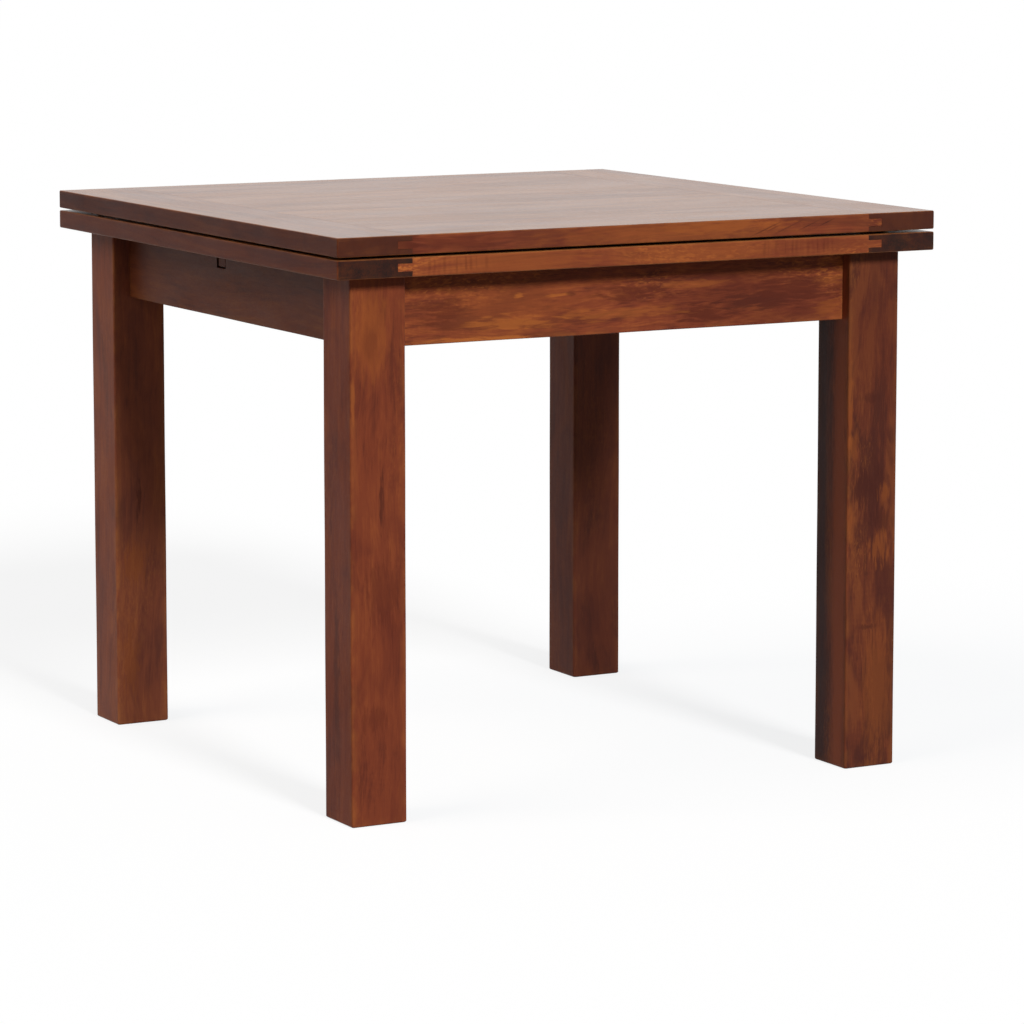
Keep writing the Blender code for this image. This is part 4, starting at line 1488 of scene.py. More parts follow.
@dataclass(frozen=True)
class Screw:
    """A wood screw with a crowned head.

    The head's top is a square grid drawn into a disc, x = u sqrt(1 - v v / 2) and
    y = v sqrt(1 - u u / 2), raised by the crown times (1 - r r) and sunk in the drive's bands.
    """

    radius: float  # head's radius
    rim: float  # height of the head's rim over its seat
    crown: float  # rise of the head's middle over its rim
    shank: float  # shank's radius
    length: float  # length below the seat
    sunk: bool  # whether the head's underside is a cone
    drive: Drive
    # The grid's lines on one side, as shares of the radius, close at the recess's wall
    lines: tuple[float, ...] = (0.15, 0.20, 0.38, 0.60, 0.80, 0.93, 1.0)
    drive_half: float = 0.17  # half the recess's width, as a share of the radius
    drive_depth: float = 0.28  # its depth, as a share of the radius
    cross_reach: float = 0.45  # square of a cross's reach, as a share of the radius
    bite: float = 0.0002  # how far the head goes below its seat
    neck: float = 0.0001  # length over which a flat head turns into the shank

    def skin(self, stand: Stand) -> Shell:
        """Make the screw at a place.

        Args:
            stand: Place of its seat, with the axis out through the head.

        Returns:
            The screw's closed skin.
        """
        half = np.array(self.lines)
        lines = np.concatenate([-half[::-1], half])
        u, v = np.meshgrid(lines, lines, indexing="ij")
        x, y = u * np.sqrt(1 - v ** 2 / 2), v * np.sqrt(1 - u ** 2 / 2)
        far = x ** 2 + y ** 2
        band = np.abs(v) < self.drive_half
        if self.drive is Drive.CROSS:
            band = (band | (np.abs(u) < self.drive_half)) & (far < self.cross_reach)
        height = self.rim + self.crown * (1 - far) - band * self.drive_depth * self.radius
        top = np.stack([x * self.radius, y * self.radius, height], axis=-1).reshape(-1, 3)
        index = np.arange(u.size).reshape(u.shape)
        edge = np.concatenate([index[:-1, 0], index[-1, :-1], index[:0:-1, -1], index[0, :0:-1]])
        cone = self.radius - self.shank if self.sunk else self.neck
        radii = np.array([self.radius, self.shank, self.shank])
        levels = np.array([-self.bite, -self.bite - cone, -self.length])
        rings = np.empty((len(radii), len(edge), 3))
        rings[..., :2] = radii[:, None, None] * top[edge, :2] / self.radius
        rings[..., 2] = levels[:, None]
        below = u.size + np.arange(len(radii) * len(edge)).reshape(len(radii), -1)
        order = np.concatenate([edge[None], below])
        beside = np.roll(order, -1, axis=1)
        sides = np.stack([order[:-1], order[1:], beside[1:], beside[:-1]], axis=-1).reshape(-1, 4)
        points = stand.place(np.concatenate([top, rings.reshape(-1, 3)]))
        faces = grid_quads(index).tolist() + sides.tolist() + [order[-1, ::-1].tolist()]
        return Shell(points, faces, np.zeros(len(points)))


PAN_SCREW = Screw(radius=0.0038, rim=0.0016, crown=0.0011, shank=0.0020, length=0.012,
                  sunk=False, drive=Drive.CROSS)
HINGE_SCREW = Screw(radius=0.0028, rim=0.00010, crown=0.00035, shank=0.0014, length=0.008,
                    sunk=True, drive=Drive.SLOT)


@dataclass(frozen=True)
class Hinge:
    """One butt hinge: two plates whose knuckles share a pin, and their screws."""

    place: str  # front, middle or back
    width: float = 0.028  # plate's reach from the pin's axis
    edge: float = 0.00075  # distance from the axis to the leaf's edge
    near: float = 0.00205  # distance from the axis to a plate's face
    far: float = 0.00355  # distance from the axis to a plate's seat
    barrel: float = 0.00295  # radius of the knuckles
    facets: int = 26  # points round a knuckle
    knuckles: int = 5
    ease: float = 0.0003  # bevel of a plate's inner edge
    clear: float = 0.0005  # room between a plate and the other plate's knuckle, across the pin
    trim: Span = (0.0003, -0.0002)  # what a knuckle's ends and a gap's ends lose along the pin
    margin: float = 0.009  # distance of the screws from the plate's ends
    turns: Triple = (0.4, 1.3, 2.2)  # turn of each screw's slot, to which the hinge's Y is added

    def pin(self) -> tuple[Array, Array, Array]:
        """Give the pin's lowest and highest corners and its middle."""
        low, high = node_box(f"hinge_pin_{self.place}")
        return low, high, (low + high) / 2

    def ring(self, owned: Array) -> Array:
        """Outline of a plate across the pin, at stations with and without a knuckle.

        With a knuckle the outline runs round the barrel, a circle about the axis; without one
        the same points climb the plate's cut-back edge.

        Args:
            owned: Whether each station has a knuckle.

        Returns:
            Outlines in distance from the axis along X and height, shaped (stations, points, 2).
        """
        first = math.atan2(-math.sqrt(self.barrel ** 2 - self.edge ** 2), -self.edge)
        last = math.pi + math.asin(self.near / self.barrel)
        turn = np.linspace(first, last, self.facets)
        around = self.barrel * np.stack([np.cos(turn), np.sin(turn)], axis=-1)
        cut = self.barrel + self.clear
        levels = np.linspace(-self.far, -self.near, self.facets + 2)[1:-1]
        climb = np.stack([np.full(self.facets, -cut), levels], axis=-1)
        inner, bevel = -self.width, self.ease - self.width
        under = [[inner, self.ease - self.far], [bevel, -self.far]]
        over = [[bevel, -self.near], [inner, -self.near - self.ease]]
        knuckle = np.concatenate([under, [[-self.edge, -self.far]], around, over])
        plain = np.concatenate([under, [[-cut, -self.far]], climb, over])
        return np.where(owned[:, None, None], knuckle, plain)

    def plate(self, up: int) -> Shell:
        """Carry a plate's outline along the pin.

        Args:
            up: 1 for the upper leaf's plate, -1 for the lower leaf's.

        Returns:
            The plate's closed skin.
        """
        low, high, middle = self.pin()
        pitch = (high[1] - low[1]) / self.knuckles
        number = np.arange(self.knuckles)
        owned = (number % 2 == 0) == (up < 0)
        start = low[1] + number * pitch
        trim = np.where(owned, *self.trim)
        stations = np.stack([start + trim, start + pitch - trim], axis=1)
        stations[0, 0], stations[-1, 1] = low[1] + STEP, high[1] - STEP
        rings = self.ring(np.repeat(owned, 2))
        placed = np.empty((*rings.shape[:2], 3))
        placed[..., 0] = middle[0] + rings[..., 0]
        placed[..., 1] = stations.ravel()[:, None]
        placed[..., 2] = middle[2] - up * rings[..., 1]
        return loft(placed, np.zeros(rings.shape[:2]))

    def screws(self, up: int) -> list[Shell]:
        """Make a plate's three slotted screws, flush with its face.

        Args:
            up: 1 for the upper leaf's plate, -1 for the lower leaf's.

        Returns:
            The screws' skins.
        """
        low, high, middle = self.pin()
        inner = middle[0] - self.width + self.margin
        outer = middle[0] - self.edge - self.margin
        spots = ((inner, low[1] + self.margin), (inner, high[1] - self.margin), (outer, middle[1]))
        level = middle[2] + up * self.near
        return [HINGE_SCREW.skin(Stand((x, y, level), (0.0, 0.0, -up), turn + middle[1]))
                for (x, y), turn in zip(spots, self.turns)]

    def build(self, shop: Workshop, brass: Material) -> None:
        """Make both plates and their screws.

        Args:
            shop: Makes the pieces.
            brass: Finish of plates and screws.
        """
        for name, up in (("lower", -1), ("upper", 1)):
            body = f"{name}_leaf"
            shop.stand_in(f"{name}_hinge_plate_{self.place}", "brass", self.plate(up), brass, body)
            shop.piece(f"{name}_hinge_screws_{self.place}", self.screws(up), brass, body)


@dataclass(frozen=True)
class CornerBolt:
    """Hanger bolt and flange nut that draw one leg against its brace."""

    corner: str
    radius: float = 0.004  # bolt's radius
    facets: int = 24  # points round the bolt
    pitch: float = 0.00125  # thread's pitch
    pitch_steps: int = 8  # rings to a pitch
    depth: float = 0.0006  # thread's depth
    threaded: float = 0.015  # length of thread that shows
    runout: float = 0.001  # length over which the thread begins
    tip: Span = (0.0008, 0.0007)  # length and depth of the chamfer at the bolt's end
    flange: float = 0.0089  # flange's radius
    flange_thick: float = 0.0016
    # Rings of its lower edge: loss of radius and height over the seat
    flange_low: tuple[Span, ...] = ((0.0003, 0.0), (0.0, 0.0003))
    # Rings of its upper edge: loss of radius and depth below its top
    flange_high: tuple[Span, ...] = ((0.0, 0.0004), (0.0006, 0.0))
    hexagon: float = 0.0075  # radius over the hexagon's corners
    hexagon_points: int = 36  # points round the nut
    # Rings of the hexagon: loss of radius and depth below the nut's end
    chamfer: tuple[Span, ...] = ((0.0, 0.0011), (0.0003, 0.0007), (0.0009, 0.0003), (0.0016, 0.0))

    @staticmethod
    def line(node: str, radius: float) -> tuple[Stand, float]:
        """Place a node that lies level on the corner's diagonal.

        Args:
            node: CAD node.
            radius: Its radius.

        Returns:
            A stand at its end in the leg, with the axis inwards, and its length.
        """
        low, high = node_box(node)
        outwards = np.sign((low + high)[:2])
        spread = radius * math.sqrt(0.5)
        reach = np.abs(np.where(outwards > 0, high[:2], low[:2])) - spread
        inner = np.abs(np.where(outwards > 0, low[:2], high[:2])) + spread
        start = np.append(outwards * reach, (low[2] + high[2]) / 2)
        axis = np.append(-outwards, 0.0) / math.sqrt(2)
        return Stand(tuple(start), tuple(axis)), float(np.linalg.norm(reach - inner))

    def bolt(self) -> Shell:
        """Carry a round rod along the diagonal, with a helical thread on its inner end.

        The radius is r - d (1 + cos(2 pi s / p - t)) / 2 at distance s and turn t on the thread.

        Returns:
            The bolt's closed skin.
        """
        stand, length = self.line(f"{self.corner}_hanger_bolt", self.radius)
        plain = np.array([0.0, length - self.threaded - self.runout])
        steps = int(self.threaded / self.pitch * self.pitch_steps)
        along = np.concatenate([plain, np.linspace(length - self.threaded, length, steps)])
        turn = np.linspace(0.0, 2 * math.pi, self.facets, endpoint=False)
        wave = 0.5 + 0.5 * np.cos(2 * math.pi * along[:, None] / self.pitch - turn)
        cut = self.depth * wave * (along > plain[1])[:, None]
        reach, fall = self.tip
        taper = np.clip((along - length + reach) / reach, 0.0, 1.0)[:, None] * fall
        return plain_loft(round_rings(self.radius - np.maximum(cut, taper), along), stand)

    def nut(self) -> Shell:
        """Stack a round flange and a hexagon with a turned chamfer.

        The hexagon's radius is its flat's distance over the cosine of the turn from the nearest
        flat; the chamfer takes the lesser of that and a falling cone.

        Returns:
            The nut's closed skin.
        """
        stand, length = self.line(f"{self.corner}_flange_nut", self.flange)
        turn = np.linspace(0.0, 2 * math.pi, self.hexagon_points, endpoint=False)
        flat = self.hexagon * math.cos(math.pi / 6)
        six = flat / np.cos(np.mod(turn, math.pi / 3) - math.pi / 6)
        low, high, end = (np.array(edge)
                          for edge in (self.flange_low, self.flange_high, self.chamfer))
        heights = np.concatenate([low[:, 1], self.flange_thick - high[:, 1], length - end[:, 1]])
        rims = self.flange - np.concatenate([low[:, :1], high[:, :1]])
        radii = np.concatenate([np.repeat(rims, self.hexagon_points, axis=1),
                                np.minimum(six, self.hexagon - end[:, :1])])
        return plain_loft(round_rings(radii, heights), stand)

    def build(self, shop: Workshop, steel: Material) -> None:
        """Make the bolt and its nut.

        Args:
            shop: Makes the pieces.
            steel: Their finish.
        """
        for node, skin in ((f"{self.corner}_hanger_bolt", self.bolt()),
                           (f"{self.corner}_flange_nut", self.nut())):
            shop.stand_in(node, "steel", skin, steel, "base")


@dataclass(frozen=True)
class SmallScrews:
    """Pan-head screws of the runner, the keepers and the corner braces."""

    # How many the runner and the keepers have
    counts: tuple[tuple[str, int], ...] = (("runner", 5), ("keeper", 4))
    head: float = 0.0028  # height of the CAD screws' heads
    turn: float = 0.7  # turn of the drive from one screw to the next
    brace_thick: float = 0.025
    brace_seat: float = 0.009  # wood under a head in a brace
    brace_rise: float = 0.015  # distance of a brace's screws above and below its middle
    brace_turns: Span = (0.3, 1.1)  # turn of the drives in its two ends

    def brace_screws(self, corner: str) -> list[Shell]:
        """Make a brace's four screws, two into each of its aprons.

        They stand in the middle of the brace's thickness, which lies on the diagonal.

        Args:
            corner: Name of the brace's corner.

        Returns:
            The screws' skins.
        """
        low, high = node_box(f"{corner}_brace")
        signs = corner_signs(corner)
        near, far = np.sort(np.abs([low[:2], high[:2]]), axis=0)
        seat = signs * (far - self.brace_seat)
        along = signs * (near + self.brace_thick / math.sqrt(2) - FIT)
        middle = (low[2] + high[2]) / 2
        skins = []
        for number, height in enumerate((middle - self.brace_rise, middle + self.brace_rise)):
            for origin, axis, turn in zip(
                    ((seat[0], along[1], height), (along[0], seat[1], height)),
                    ((-signs[0], 0.0, 0.0), (0.0, -signs[1], 0.0)), self.brace_turns):
                skins.append(PAN_SCREW.skin(Stand(origin, axis, number + turn)))
        return skins

    def build(self, shop: Workshop, steel: Material) -> None:
        """Make every pan-head screw.

        Args:
            shop: Makes the pieces.
            steel: Their finish.
        """
        nodes = [f"{kind}_screw_{n + 1}" for kind, count in self.counts for n in range(count)]
        for number, node in enumerate(nodes):
            low, high = node_box(node)
            middle = (low + high) / 2
            seat = (middle[0], middle[1], low[2] + self.head)
            skin = PAN_SCREW.skin(Stand(seat, DOWN, number * self.turn))
            shop.stand_in(node, "head", skin, steel, "lower_leaf")
        for corner in CORNERS:
            shop.piece(f"{corner}_brace_screws", self.brace_screws(corner), steel, "base")


@dataclass(frozen=True)
class Pads:
    """Felt pads that carry the leaves and bumpers that keep them apart."""

    corner: float = 0.003  # radius of a felt's corners in plan
    edge: Span = (0.0003, 0.0009)  # radii of a felt's lower and upper edges
    bumper_edge: float = 0.0016  # radius of a bumper's rounded edge
    bumper_foot: float = 0.0004  # bevel of a bumper's foot
    crown: float = 0.0003  # rise of a bumper's top inside that edge
    # Rings of the top: share of the radius, and share of the crown still to rise
    crown_rings: tuple[Span, ...] = ((0.45, 0.1), (0.15, 0.0))
    facets: int = 32  # points round a bumper
    edge_points: int = 7  # rings of its rounded edge

    def bumper(self, node: str) -> Shell:
        """Turn a domed bumper: a wall that rounds over into a slightly crowned top.

        Args:
            node: CAD node that gives its place and size.

        Returns:
            The bumper's closed skin.
        """
        low, high = node_box(node)
        radius = (high[0] - low[0]) / 2
        top = high[2] - low[2]
        turn = np.linspace(0.0, math.pi / 2, self.edge_points)
        share, rise = np.array(self.crown_rings).T
        radii = np.concatenate([[radius - self.bumper_foot, radius],
                                radius - self.bumper_edge * (1 - np.cos(turn)), share * radius])
        heights = np.concatenate([[0.0, self.bumper_foot],
                                  top - self.crown - self.bumper_edge * (1 - np.sin(turn)),
                                  top - rise * self.crown])
        centre = (low[0] + radius, low[1] + radius, low[2])
        rings = round_rings(np.repeat(radii[:, None], self.facets, axis=1), heights)
        return plain_loft(rings, Stand(centre, UP))

    def build(self, shop: Workshop, felt: Material, rubber: Material) -> None:
        """Make the six felt pads and the two bumpers.

        Args:
            shop: Makes the pieces.
            felt: Finish of the pads.
            rubber: Finish of the bumpers.
        """
        carriers = [f"{corner}_leg" for corner in CORNERS] + ["front_apron", "back_apron"]
        for carrier in carriers:
            node = f"{carrier}_felt"
            pad = Board(*node_box(node), 2, (self.corner,) * 4, self.edge, sway=0.0)
            made = shop.stand_in(node, "pad", pad.skin(), felt, "base")
        for side in ("front", "back"):
            node = f"{side}_bumper"
            shop.stand_in(node, "dome", self.bumper(node), rubber, "lower_leaf")


@dataclass(frozen=True)
class Slide:
    """Runner, rails, keepers and braces: CAD solids that keep their shape and drilled holes."""

    bevel: float = 0.0007  # width of the planed bevel on their edges
    bevel_steps: int = 2  # facets of that bevel
    bevel_angle: float = 60.0  # angle in degrees above which an edge gets it
    weld: float = 0.00002  # distance within which a solid's corners are one

    def build(self, shop: Workshop, effects: Effects) -> None:
        """Dress the pieces in bare or dark wood and take the sharpness off their edges.

        Args:
            shop: Dresses the pieces.
            effects: Shared node groups.
        """
        plain = {"lacquer": Lacquer.BARE, "stain": PLANED, "heart": 0.35, "gleam": 0.2}
        woods = [StainedWood(node, grain, seed, **plain) for node, grain, seed in (
            ("front_guide_rail", Grain.X, 22.6), ("back_guide_rail", Grain.X, 23.1),
            ("stop_keeper", Grain.Y, 24.4), ("home_keeper", Grain.Y, 25.9),
            ("front_left_brace", Grain.X, 26.2), ("front_right_brace", Grain.X, 27.5),
            ("back_left_brace", Grain.X, 28.8), ("back_right_brace", Grain.X, 29.3))]
        # The runner's end colour is painted light, so that its end shows in the notch's shade.
        dark = replace(CHESTNUT.toned(0.5, 0.9), end=RUNNER_END)
        woods.append(StainedWood("slide_runner", Grain.X, 21.3, dark))
        for wood in woods:
            shop.dress(wood.node, wood.make(effects))
            self.soften(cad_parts[wood.node])

    def soften(self, obj: Object) -> None:
        """Weld a CAD solid's corners and bevel its sharp edges with modifiers.

        Args:
            obj: The solid's object.
        """
        weld = obj.modifiers.new("weld", "WELD")
        weld.merge_threshold = self.weld
        bevel = obj.modifiers.new("planed_edges", "BEVEL")
        bevel.width = self.bevel
        bevel.segments = self.bevel_steps
        bevel.limit_method = "ANGLE"
        bevel.angle_limit = math.radians(self.bevel_angle)
        bevel.use_clamp_overlap = True


@dataclass(frozen=True)
class Lamp:
    """A far, broad lamp that the lacquer doesn't mirror."""

    name: str
    strength: float  # in watts per square metre
    height: float  # over the horizon, in degrees
    turn: float  # about Z from the front, in degrees
    softness: float  # its breadth as the table sees it, in degrees
    colour: Colour = (1.0, 1.0, 1.0)

    def on_floor(self) -> Array:
        """Give the colour of the light that a white floor sends back."""
        share = math.sin(math.radians(self.height)) / math.pi
        return self.strength * share * np.array(self.colour)

    def build(self) -> None:
        """Make the lamp."""
        data = bpy.data.lights.new(self.name, "SUN")
        data.energy = self.strength
        data.color = self.colour
        data.angle = math.radians(self.softness)
        lamp = bpy.data.objects.new(self.name, data)
        lamp.rotation_euler = (math.radians(90.0 - self.height), 0.0, math.radians(self.turn))
        lamp.visible_glossy = False
        bpy.context.scene.collection.objects.link(lamp)


KEY = Lamp("key", strength=3.0, height=27.0, turn=0.0, softness=12.0)
FILL = Lamp("fill", strength=1.18, height=41.0, turn=-90.0, softness=40.0, colour=(1.0, 0.88, 0.76))


@dataclass(frozen=True)
class Studio:
    """White studio with a soft frontal key light, a weak side fill and the camera."""

    image_pixels: int = 1024  # width of the photograph in pixels
    focal_pixels: float = 4249.86  # focal length in the same pixels
    camera: Triple = (-2.8022, -5.2065, 1.2304)
    yaw: float = 28.6725  # camera's turn from +Y towards +X, in degrees
    pitch: float = -7.3238  # camera's tilt, in degrees
    lift: float = -0.1  # vertical shift of the lens, in image widths
    sight: float = 300.0  # how far the camera sees
    lamps: tuple[Lamp, ...] = (KEY, FILL)
    ambient: float = 0.18  # light from all around, beside the white that the camera sees there
    floor_shade: float = 0.22  # grey of the floor, which sets the strength of the shadow
    floor_reach: float = 60.0  # distance from the table to the floor's sides
    floor_lines: int = 25  # lines of its grid along each side
    floor_drop: float = 0.0004  # distance from the feet down to it

    def build(self) -> None:
        """Make the world, the floor, the lights and the camera."""
        bpy.context.scene.view_settings.view_transform = "Standard"
        self.make_world()
        self.make_floor()
        for lamp in self.lamps:
            lamp.build()
        self.make_camera()

    @staticmethod
    def seen(graph: Graph) -> NodeSocket:
        """Mask of the rays that show the background: camera, glossy and transmission rays.

        Args:
            graph: Graph of the background's material.

        Returns:
            1 on these rays and 0 on others.
        """
        light = graph.add("LightPath").outputs
        mirrored = graph.math("MAXIMUM", light["Is Camera Ray"], light["Is Glossy Ray"])
        return graph.math("MAXIMUM", mirrored, light["Is Transmission Ray"])

    def make_world(self) -> None:
        """White to look at, and a soft light of the ambient level on the object."""
        world = bpy.data.worlds.new("studio")
        bpy.context.scene.world = world
        world.use_nodes = True
        graph = Graph(world.node_tree)
        back = world.node_tree.nodes["Background"]
        light = graph.span(self.seen(graph), 0.0, 1.0, self.ambient, 1.0)
        graph.wire(back, Color=(1.0, 1.0, 1.0), Strength=light)

    def make_floor(self) -> None:
        """Pale floor on a grid: it glows white to the camera, less its share of the shadow."""
        side = np.linspace(-self.floor_reach, self.floor_reach, self.floor_lines)
        x, y = np.meshgrid(side, side, indexing="ij")
        points = np.stack([x, y, np.full_like(x, -self.floor_drop)], axis=-1).reshape(-1, 3)
        faces = grid_quads(np.arange(x.size).reshape(x.shape))
        mesh = bpy.data.meshes.new("studio_floor")
        mesh.from_pydata(points.tolist(), [], faces.tolist())
        made, graph, shader = new_material("studio_floor")
        lit = self.floor_shade * (self.ambient + sum(lamp.on_floor() for lamp in self.lamps))
        graph.wire(shader, Base_Color=(self.floor_shade,) * 3, Roughness=1.0,
                   Specular_IOR_Level=0.0, Emission_Color=tuple((1.0 - lit).tolist()),
                   Emission_Strength=self.seen(graph))
        mesh.materials.append(made)
        floor = bpy.data.objects.new("studio_floor", mesh)
        bpy.context.scene.collection.objects.link(floor)

    def make_camera(self) -> None:
        """Camera at the photograph's viewing angle."""
        data = bpy.data.cameras.new("camera")
        data.lens = self.focal_pixels / self.image_pixels * data.sensor_width
        data.shift_y = self.lift
        data.clip_end = self.sight
        camera = bpy.data.objects.new("camera", data)
        camera.location = self.camera
        camera.rotation_euler = (math.radians(90.0 + self.pitch), 0.0, math.radians(-self.yaw))
        bpy.context.scene.collection.objects.link(camera)
        bpy.context.scene.camera = camera


APRON_MARKS = (
    Mark(Tint.AMBER, -0.180, 0.040, (0.150, 0.060), 0.30, 1.5),
    Mark(Tint.RED, 0.200, 0.040, (0.170, 0.060), 0.60, 1.5),
    Mark(Tint.RED, -0.270, 0.040, (0.035, 0.024), 0.60),
    Mark(Tint.RED, 0.005, 0.052, (0.055, 0.013), 0.75),
    Mark(Tint.RED, 0.110, 0.020, (0.045, 0.014), 0.75),
    Mark(Tint.DARK, 0.200, 0.033, (0.070, 0.015), 0.62),
    Mark(Tint.RED, 0.250, 0.045, (0.080, 0.022), 0.75),
    Mark(Tint.GOLD, -0.010, 0.026, (0.090, 0.009), 0.28, 2.6),
    Mark(Tint.GOLD, -0.175, 0.022, (0.065, 0.011), 0.40, 2.6),
    Mark(Tint.GOLD, -0.163, 0.057, (0.009, 0.003), 0.50, 4.0),
    Mark(Tint.GOLD, -0.105, 0.054, (0.016, 0.003), 0.45, 4.0),
    Mark(Tint.GOLD, 0.105, 0.060, (0.050, 0.005), 0.24, 2.6),
    Mark(Tint.GOLD, 0.318, 0.056, (0.022, 0.009), 0.22, 2.6),
    Mark(Tint.AMBER, 0.315, 0.018, (0.023, 0.012), 0.42),
    Mark(Tint.GOLD, -0.235, 0.002, (0.100, 0.004), 0.55),
    Mark(Tint.DARK, -0.085, 0.055, (0.007, 0.004), 0.45),
)
NEAR_LEG_MARKS = (
    Mark(Tint.AMBER, -0.010, 0.640, (0.030, 0.070), 0.50, 1.5),
    Mark(Tint.RED, -0.010, 0.625, (0.014, 0.030), 0.42, 1.5),
    Mark(Tint.RED, 0.0, 0.200, (0.080, 0.300), 0.14, 1.0),
    Mark(Tint.DARK, 0.004, 0.425, (0.0035, 0.045), 0.65),
    Mark(Tint.RED, 0.008, 0.305, (0.030, 0.050), 0.50),
    Mark(Tint.RED, -0.006, 0.140, (0.020, 0.018), 0.50),
    Mark(Tint.GOLD, -0.036, 0.550, (0.003, 0.045), 0.28, 1.5),
    Mark(Tint.DARK, 0.004, 0.160, (0.010, 0.150), 0.45, face=Face.LEFT),
)
RIGHT_LEG_MARKS = (
    Mark(Tint.RED, 0.004, 0.600, (0.070, 0.110), 0.30, 1.5),
    Mark(Tint.DARK, -0.010, 0.390, (0.034, 0.034), 0.85),
    Mark(Tint.DARK, 0.014, 0.340, (0.024, 0.018), 0.65),
    Mark(Tint.AMBER, -0.032, 0.445, (0.013, 0.022), 0.32),
    Mark(Tint.AMBER, 0.020, 0.380, (0.010, 0.014), 0.40),
    Mark(Tint.AMBER, -0.036, 0.340, (0.007, 0.026), 0.40),
    Mark(Tint.DARK, -0.005, 0.510, (0.023, 0.007), 0.45),
    Mark(Tint.AMBER, -0.037, 0.510, (0.005, 0.095), 0.50),
    Mark(Tint.AMBER, 0.010, 0.110, (0.030, 0.110), 0.34, 1.2),
    Mark(Tint.AMBER, 0.010, 0.302, (0.020, 0.022), 0.38, 4.0),
    Mark(Tint.DARK, -0.005, 0.195, (0.020, 0.004), 0.55),
    # Painted shade on the back half of the left face, laid near black, and painted light on its
    # front half, a brighter brown where the face lies in shade.
    Mark(Tint.BLACK, 0.026, 0.300, (0.018, 0.900), 0.85, 0.6, face=Face.LEFT),
    Mark(Tint.BROWN, -0.019, 0.300, (0.022, 0.900), 0.85, 0.6, face=Face.LEFT, depth=0.006),
)
FAR_LEG_MARKS = (
    Mark(Tint.DARK, -0.004, 0.325, (0.004, 0.035), 0.60),
    Mark(Tint.AMBER, -0.012, 0.235, (0.020, 0.035), 0.40),
    Mark(Tint.AMBER, -0.018, 0.090, (0.014, 0.060), 0.35),
)
UPPER_EDGE_MARKS = (
    Mark(Tint.AMBER, 0.040, 0.013, (0.220, 0.030), 0.40, 1.5),
    Mark(Tint.RED, -0.285, 0.012, (0.080, 0.014), 0.50),
    Mark(Tint.RED, -0.352, 0.012, (0.022, 0.018), 0.85),
    Mark(Tint.AMBER, 0.110, 0.017, (0.110, 0.010), 0.50),
    *streaks(Tint.DARK, (0.180, 0.010), (0.022, 0.0014), 5, (0.020, 0.0011), 0.70, 0.38),
)
LOWER_EDGE_MARKS = (
    Mark(Tint.RED, 0.270, 0.012, (0.110, 0.030), 0.26, 1.5),
    Mark(Tint.AMBER, 0.060, 0.012, (0.150, 0.030), 0.40, 1.5),
    Mark(Tint.AMBER, -0.200, 0.012, (0.130, 0.030), 0.40, 1.5),
    *streaks(Tint.RED, (-0.320, 0.014), (0.012, 0.0), 8, (0.0020, 0.012), 0.36),
    *streaks(Tint.RED, (0.180, 0.014), (0.010, 0.0), 12, (0.0020, 0.012), 0.36, 0.8),
)


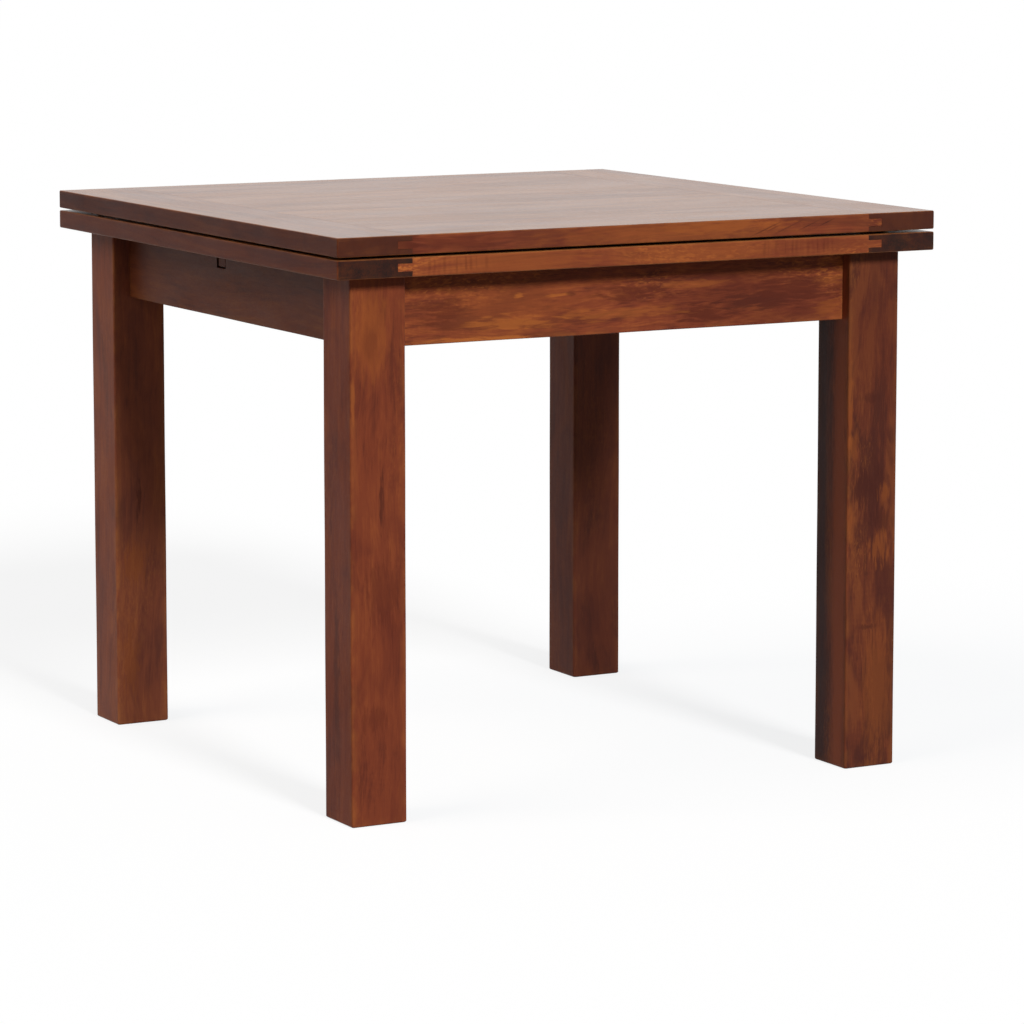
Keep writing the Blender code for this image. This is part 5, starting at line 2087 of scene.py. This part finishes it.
def wood_finishes(effects: Effects) -> Finishes:
    """Make the stained finishes, one for each board so that no two share a figure.

    Args:
        effects: Shared node groups.

    Returns:
        Materials by the name of the node that each one dresses.
    """
    top = {"lacquer": Lacquer.POLISHED, "faded": 0.60, "blotch": 0.8, "streak": 0.8, "length": 3.2}
    field = {**top, "blotch": 1.0, "fine": 0.5, "heart": 0.3, "gleam": 0.9, "staves": 0.131}
    rim = CHESTNUT.toned(1.05)
    end = {"wear": 0.12, "gleam": 0.1, **top}
    upper_end = {"stain": replace(rim, end=UPPER_END_GRAIN), "edge_depth": 0.38, **end}
    lower_end = {"stain": replace(rim, end=LOWER_END_GRAIN), "edge_depth": 0.50, **end}
    leg = {"grain": Grain.Z, "blotch": 0.85, "streak": 0.42, "heart": 0.45, "gleam": 0.15}
    woods = (
        StainedWood("front_left_leg", seed=1.3, stain=CHESTNUT.toned(0.90), marks=NEAR_LEG_MARKS,
                    **leg),
        # The grey added to this leg's stain and to both back legs' stains is painted haze, standing
        # in for reflected light in their darks.
        StainedWood("front_right_leg", seed=4.2, stain=CHESTNUT.toned(0.52, painted_haze=0.004),
                    fine=0.60, marks=RIGHT_LEG_MARKS,
                    **{**leg, "blotch": 2.2, "streak": 0.90, "heart": 0.80, "gleam": 0.50}),
        StainedWood("back_left_leg", seed=7.6, stain=CHESTNUT.toned(1.22, 0.90, 0.009),
                    marks=FAR_LEG_MARKS, **leg),
        StainedWood("back_right_leg", seed=9.1, stain=CHESTNUT.toned(0.66, 1.0, 0.009), **leg),
        StainedWood("front_apron", Grain.X, 2.4, blotch=1.4, streak=1.2, fine=0.70, heart=0.50,
                    gleam=0.68, marks=APRON_MARKS),
        StainedWood("back_apron", Grain.X, 5.5, heart=0.40, gleam=0.35),
        StainedWood("left_apron", Grain.Y, 3.1, CHESTNUT.toned(0.70, 0.85), blotch=0.6, heart=0.3,
                    gleam=0.1),
        StainedWood("right_apron", Grain.Y, 6.8, heart=0.40, gleam=0.35),
        StainedWood("lower_field", Grain.X, 8.3, CHESTNUT.toned(0.97), curl=0.05,
                    marks=LOWER_EDGE_MARKS, **field),
        StainedWood("upper_field", Grain.X, 12.7, CHESTNUT.toned(0.97), marks=UPPER_EDGE_MARKS,
                    **field),
        StainedWood("lower_left_end", Grain.Y, 13.9, **lower_end),
        StainedWood("lower_right_end", Grain.Y, 15.2, **lower_end),
        StainedWood("upper_left_end", Grain.Y, 16.4, **upper_end),
        StainedWood("upper_right_end", Grain.Y, 17.7, **upper_end),
    )
    return {wood.node: wood.make(effects) for wood in woods}


def main() -> None:
    """Build the table's pieces in order, then the studio."""
    logging.basicConfig(level=logging.INFO, format="%(name)s: %(message)s")
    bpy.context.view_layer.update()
    shop = Workshop()
    effects = Effects()
    woods = wood_finishes(effects)
    Underframe().build(shop, woods)
    plates = [node_box(f"lower_hinge_plate_{place}") for place in HINGE_PLACES]
    beds = [(low[1] - FIT, high[1] + FIT) for low, high in plates]
    bed_inner = plates[0][0][0] - FIT
    for name, mating in (("lower", 1), ("upper", -1)):
        Leaf(name, mating).build(shop, woods, beds, bed_inner)
    brass, steel = SATIN_BRASS.make(effects), ZINC_STEEL.make(effects)
    for place in HINGE_PLACES:
        Hinge(place).build(shop, brass)
        shop.dress(f"hinge_pin_{place}", steel)
    for corner in CORNERS:
        CornerBolt(corner).build(shop, steel)
    SmallScrews().build(shop, steel)
    Pads().build(shop, BROWN_FELT.make(effects), SOFT_RUBBER.make(effects))
    Slide().build(shop, effects)
    Studio().build()
    LOG.info("%d pieces made", len(shop.made))


if __name__ == "__main__":
    main()
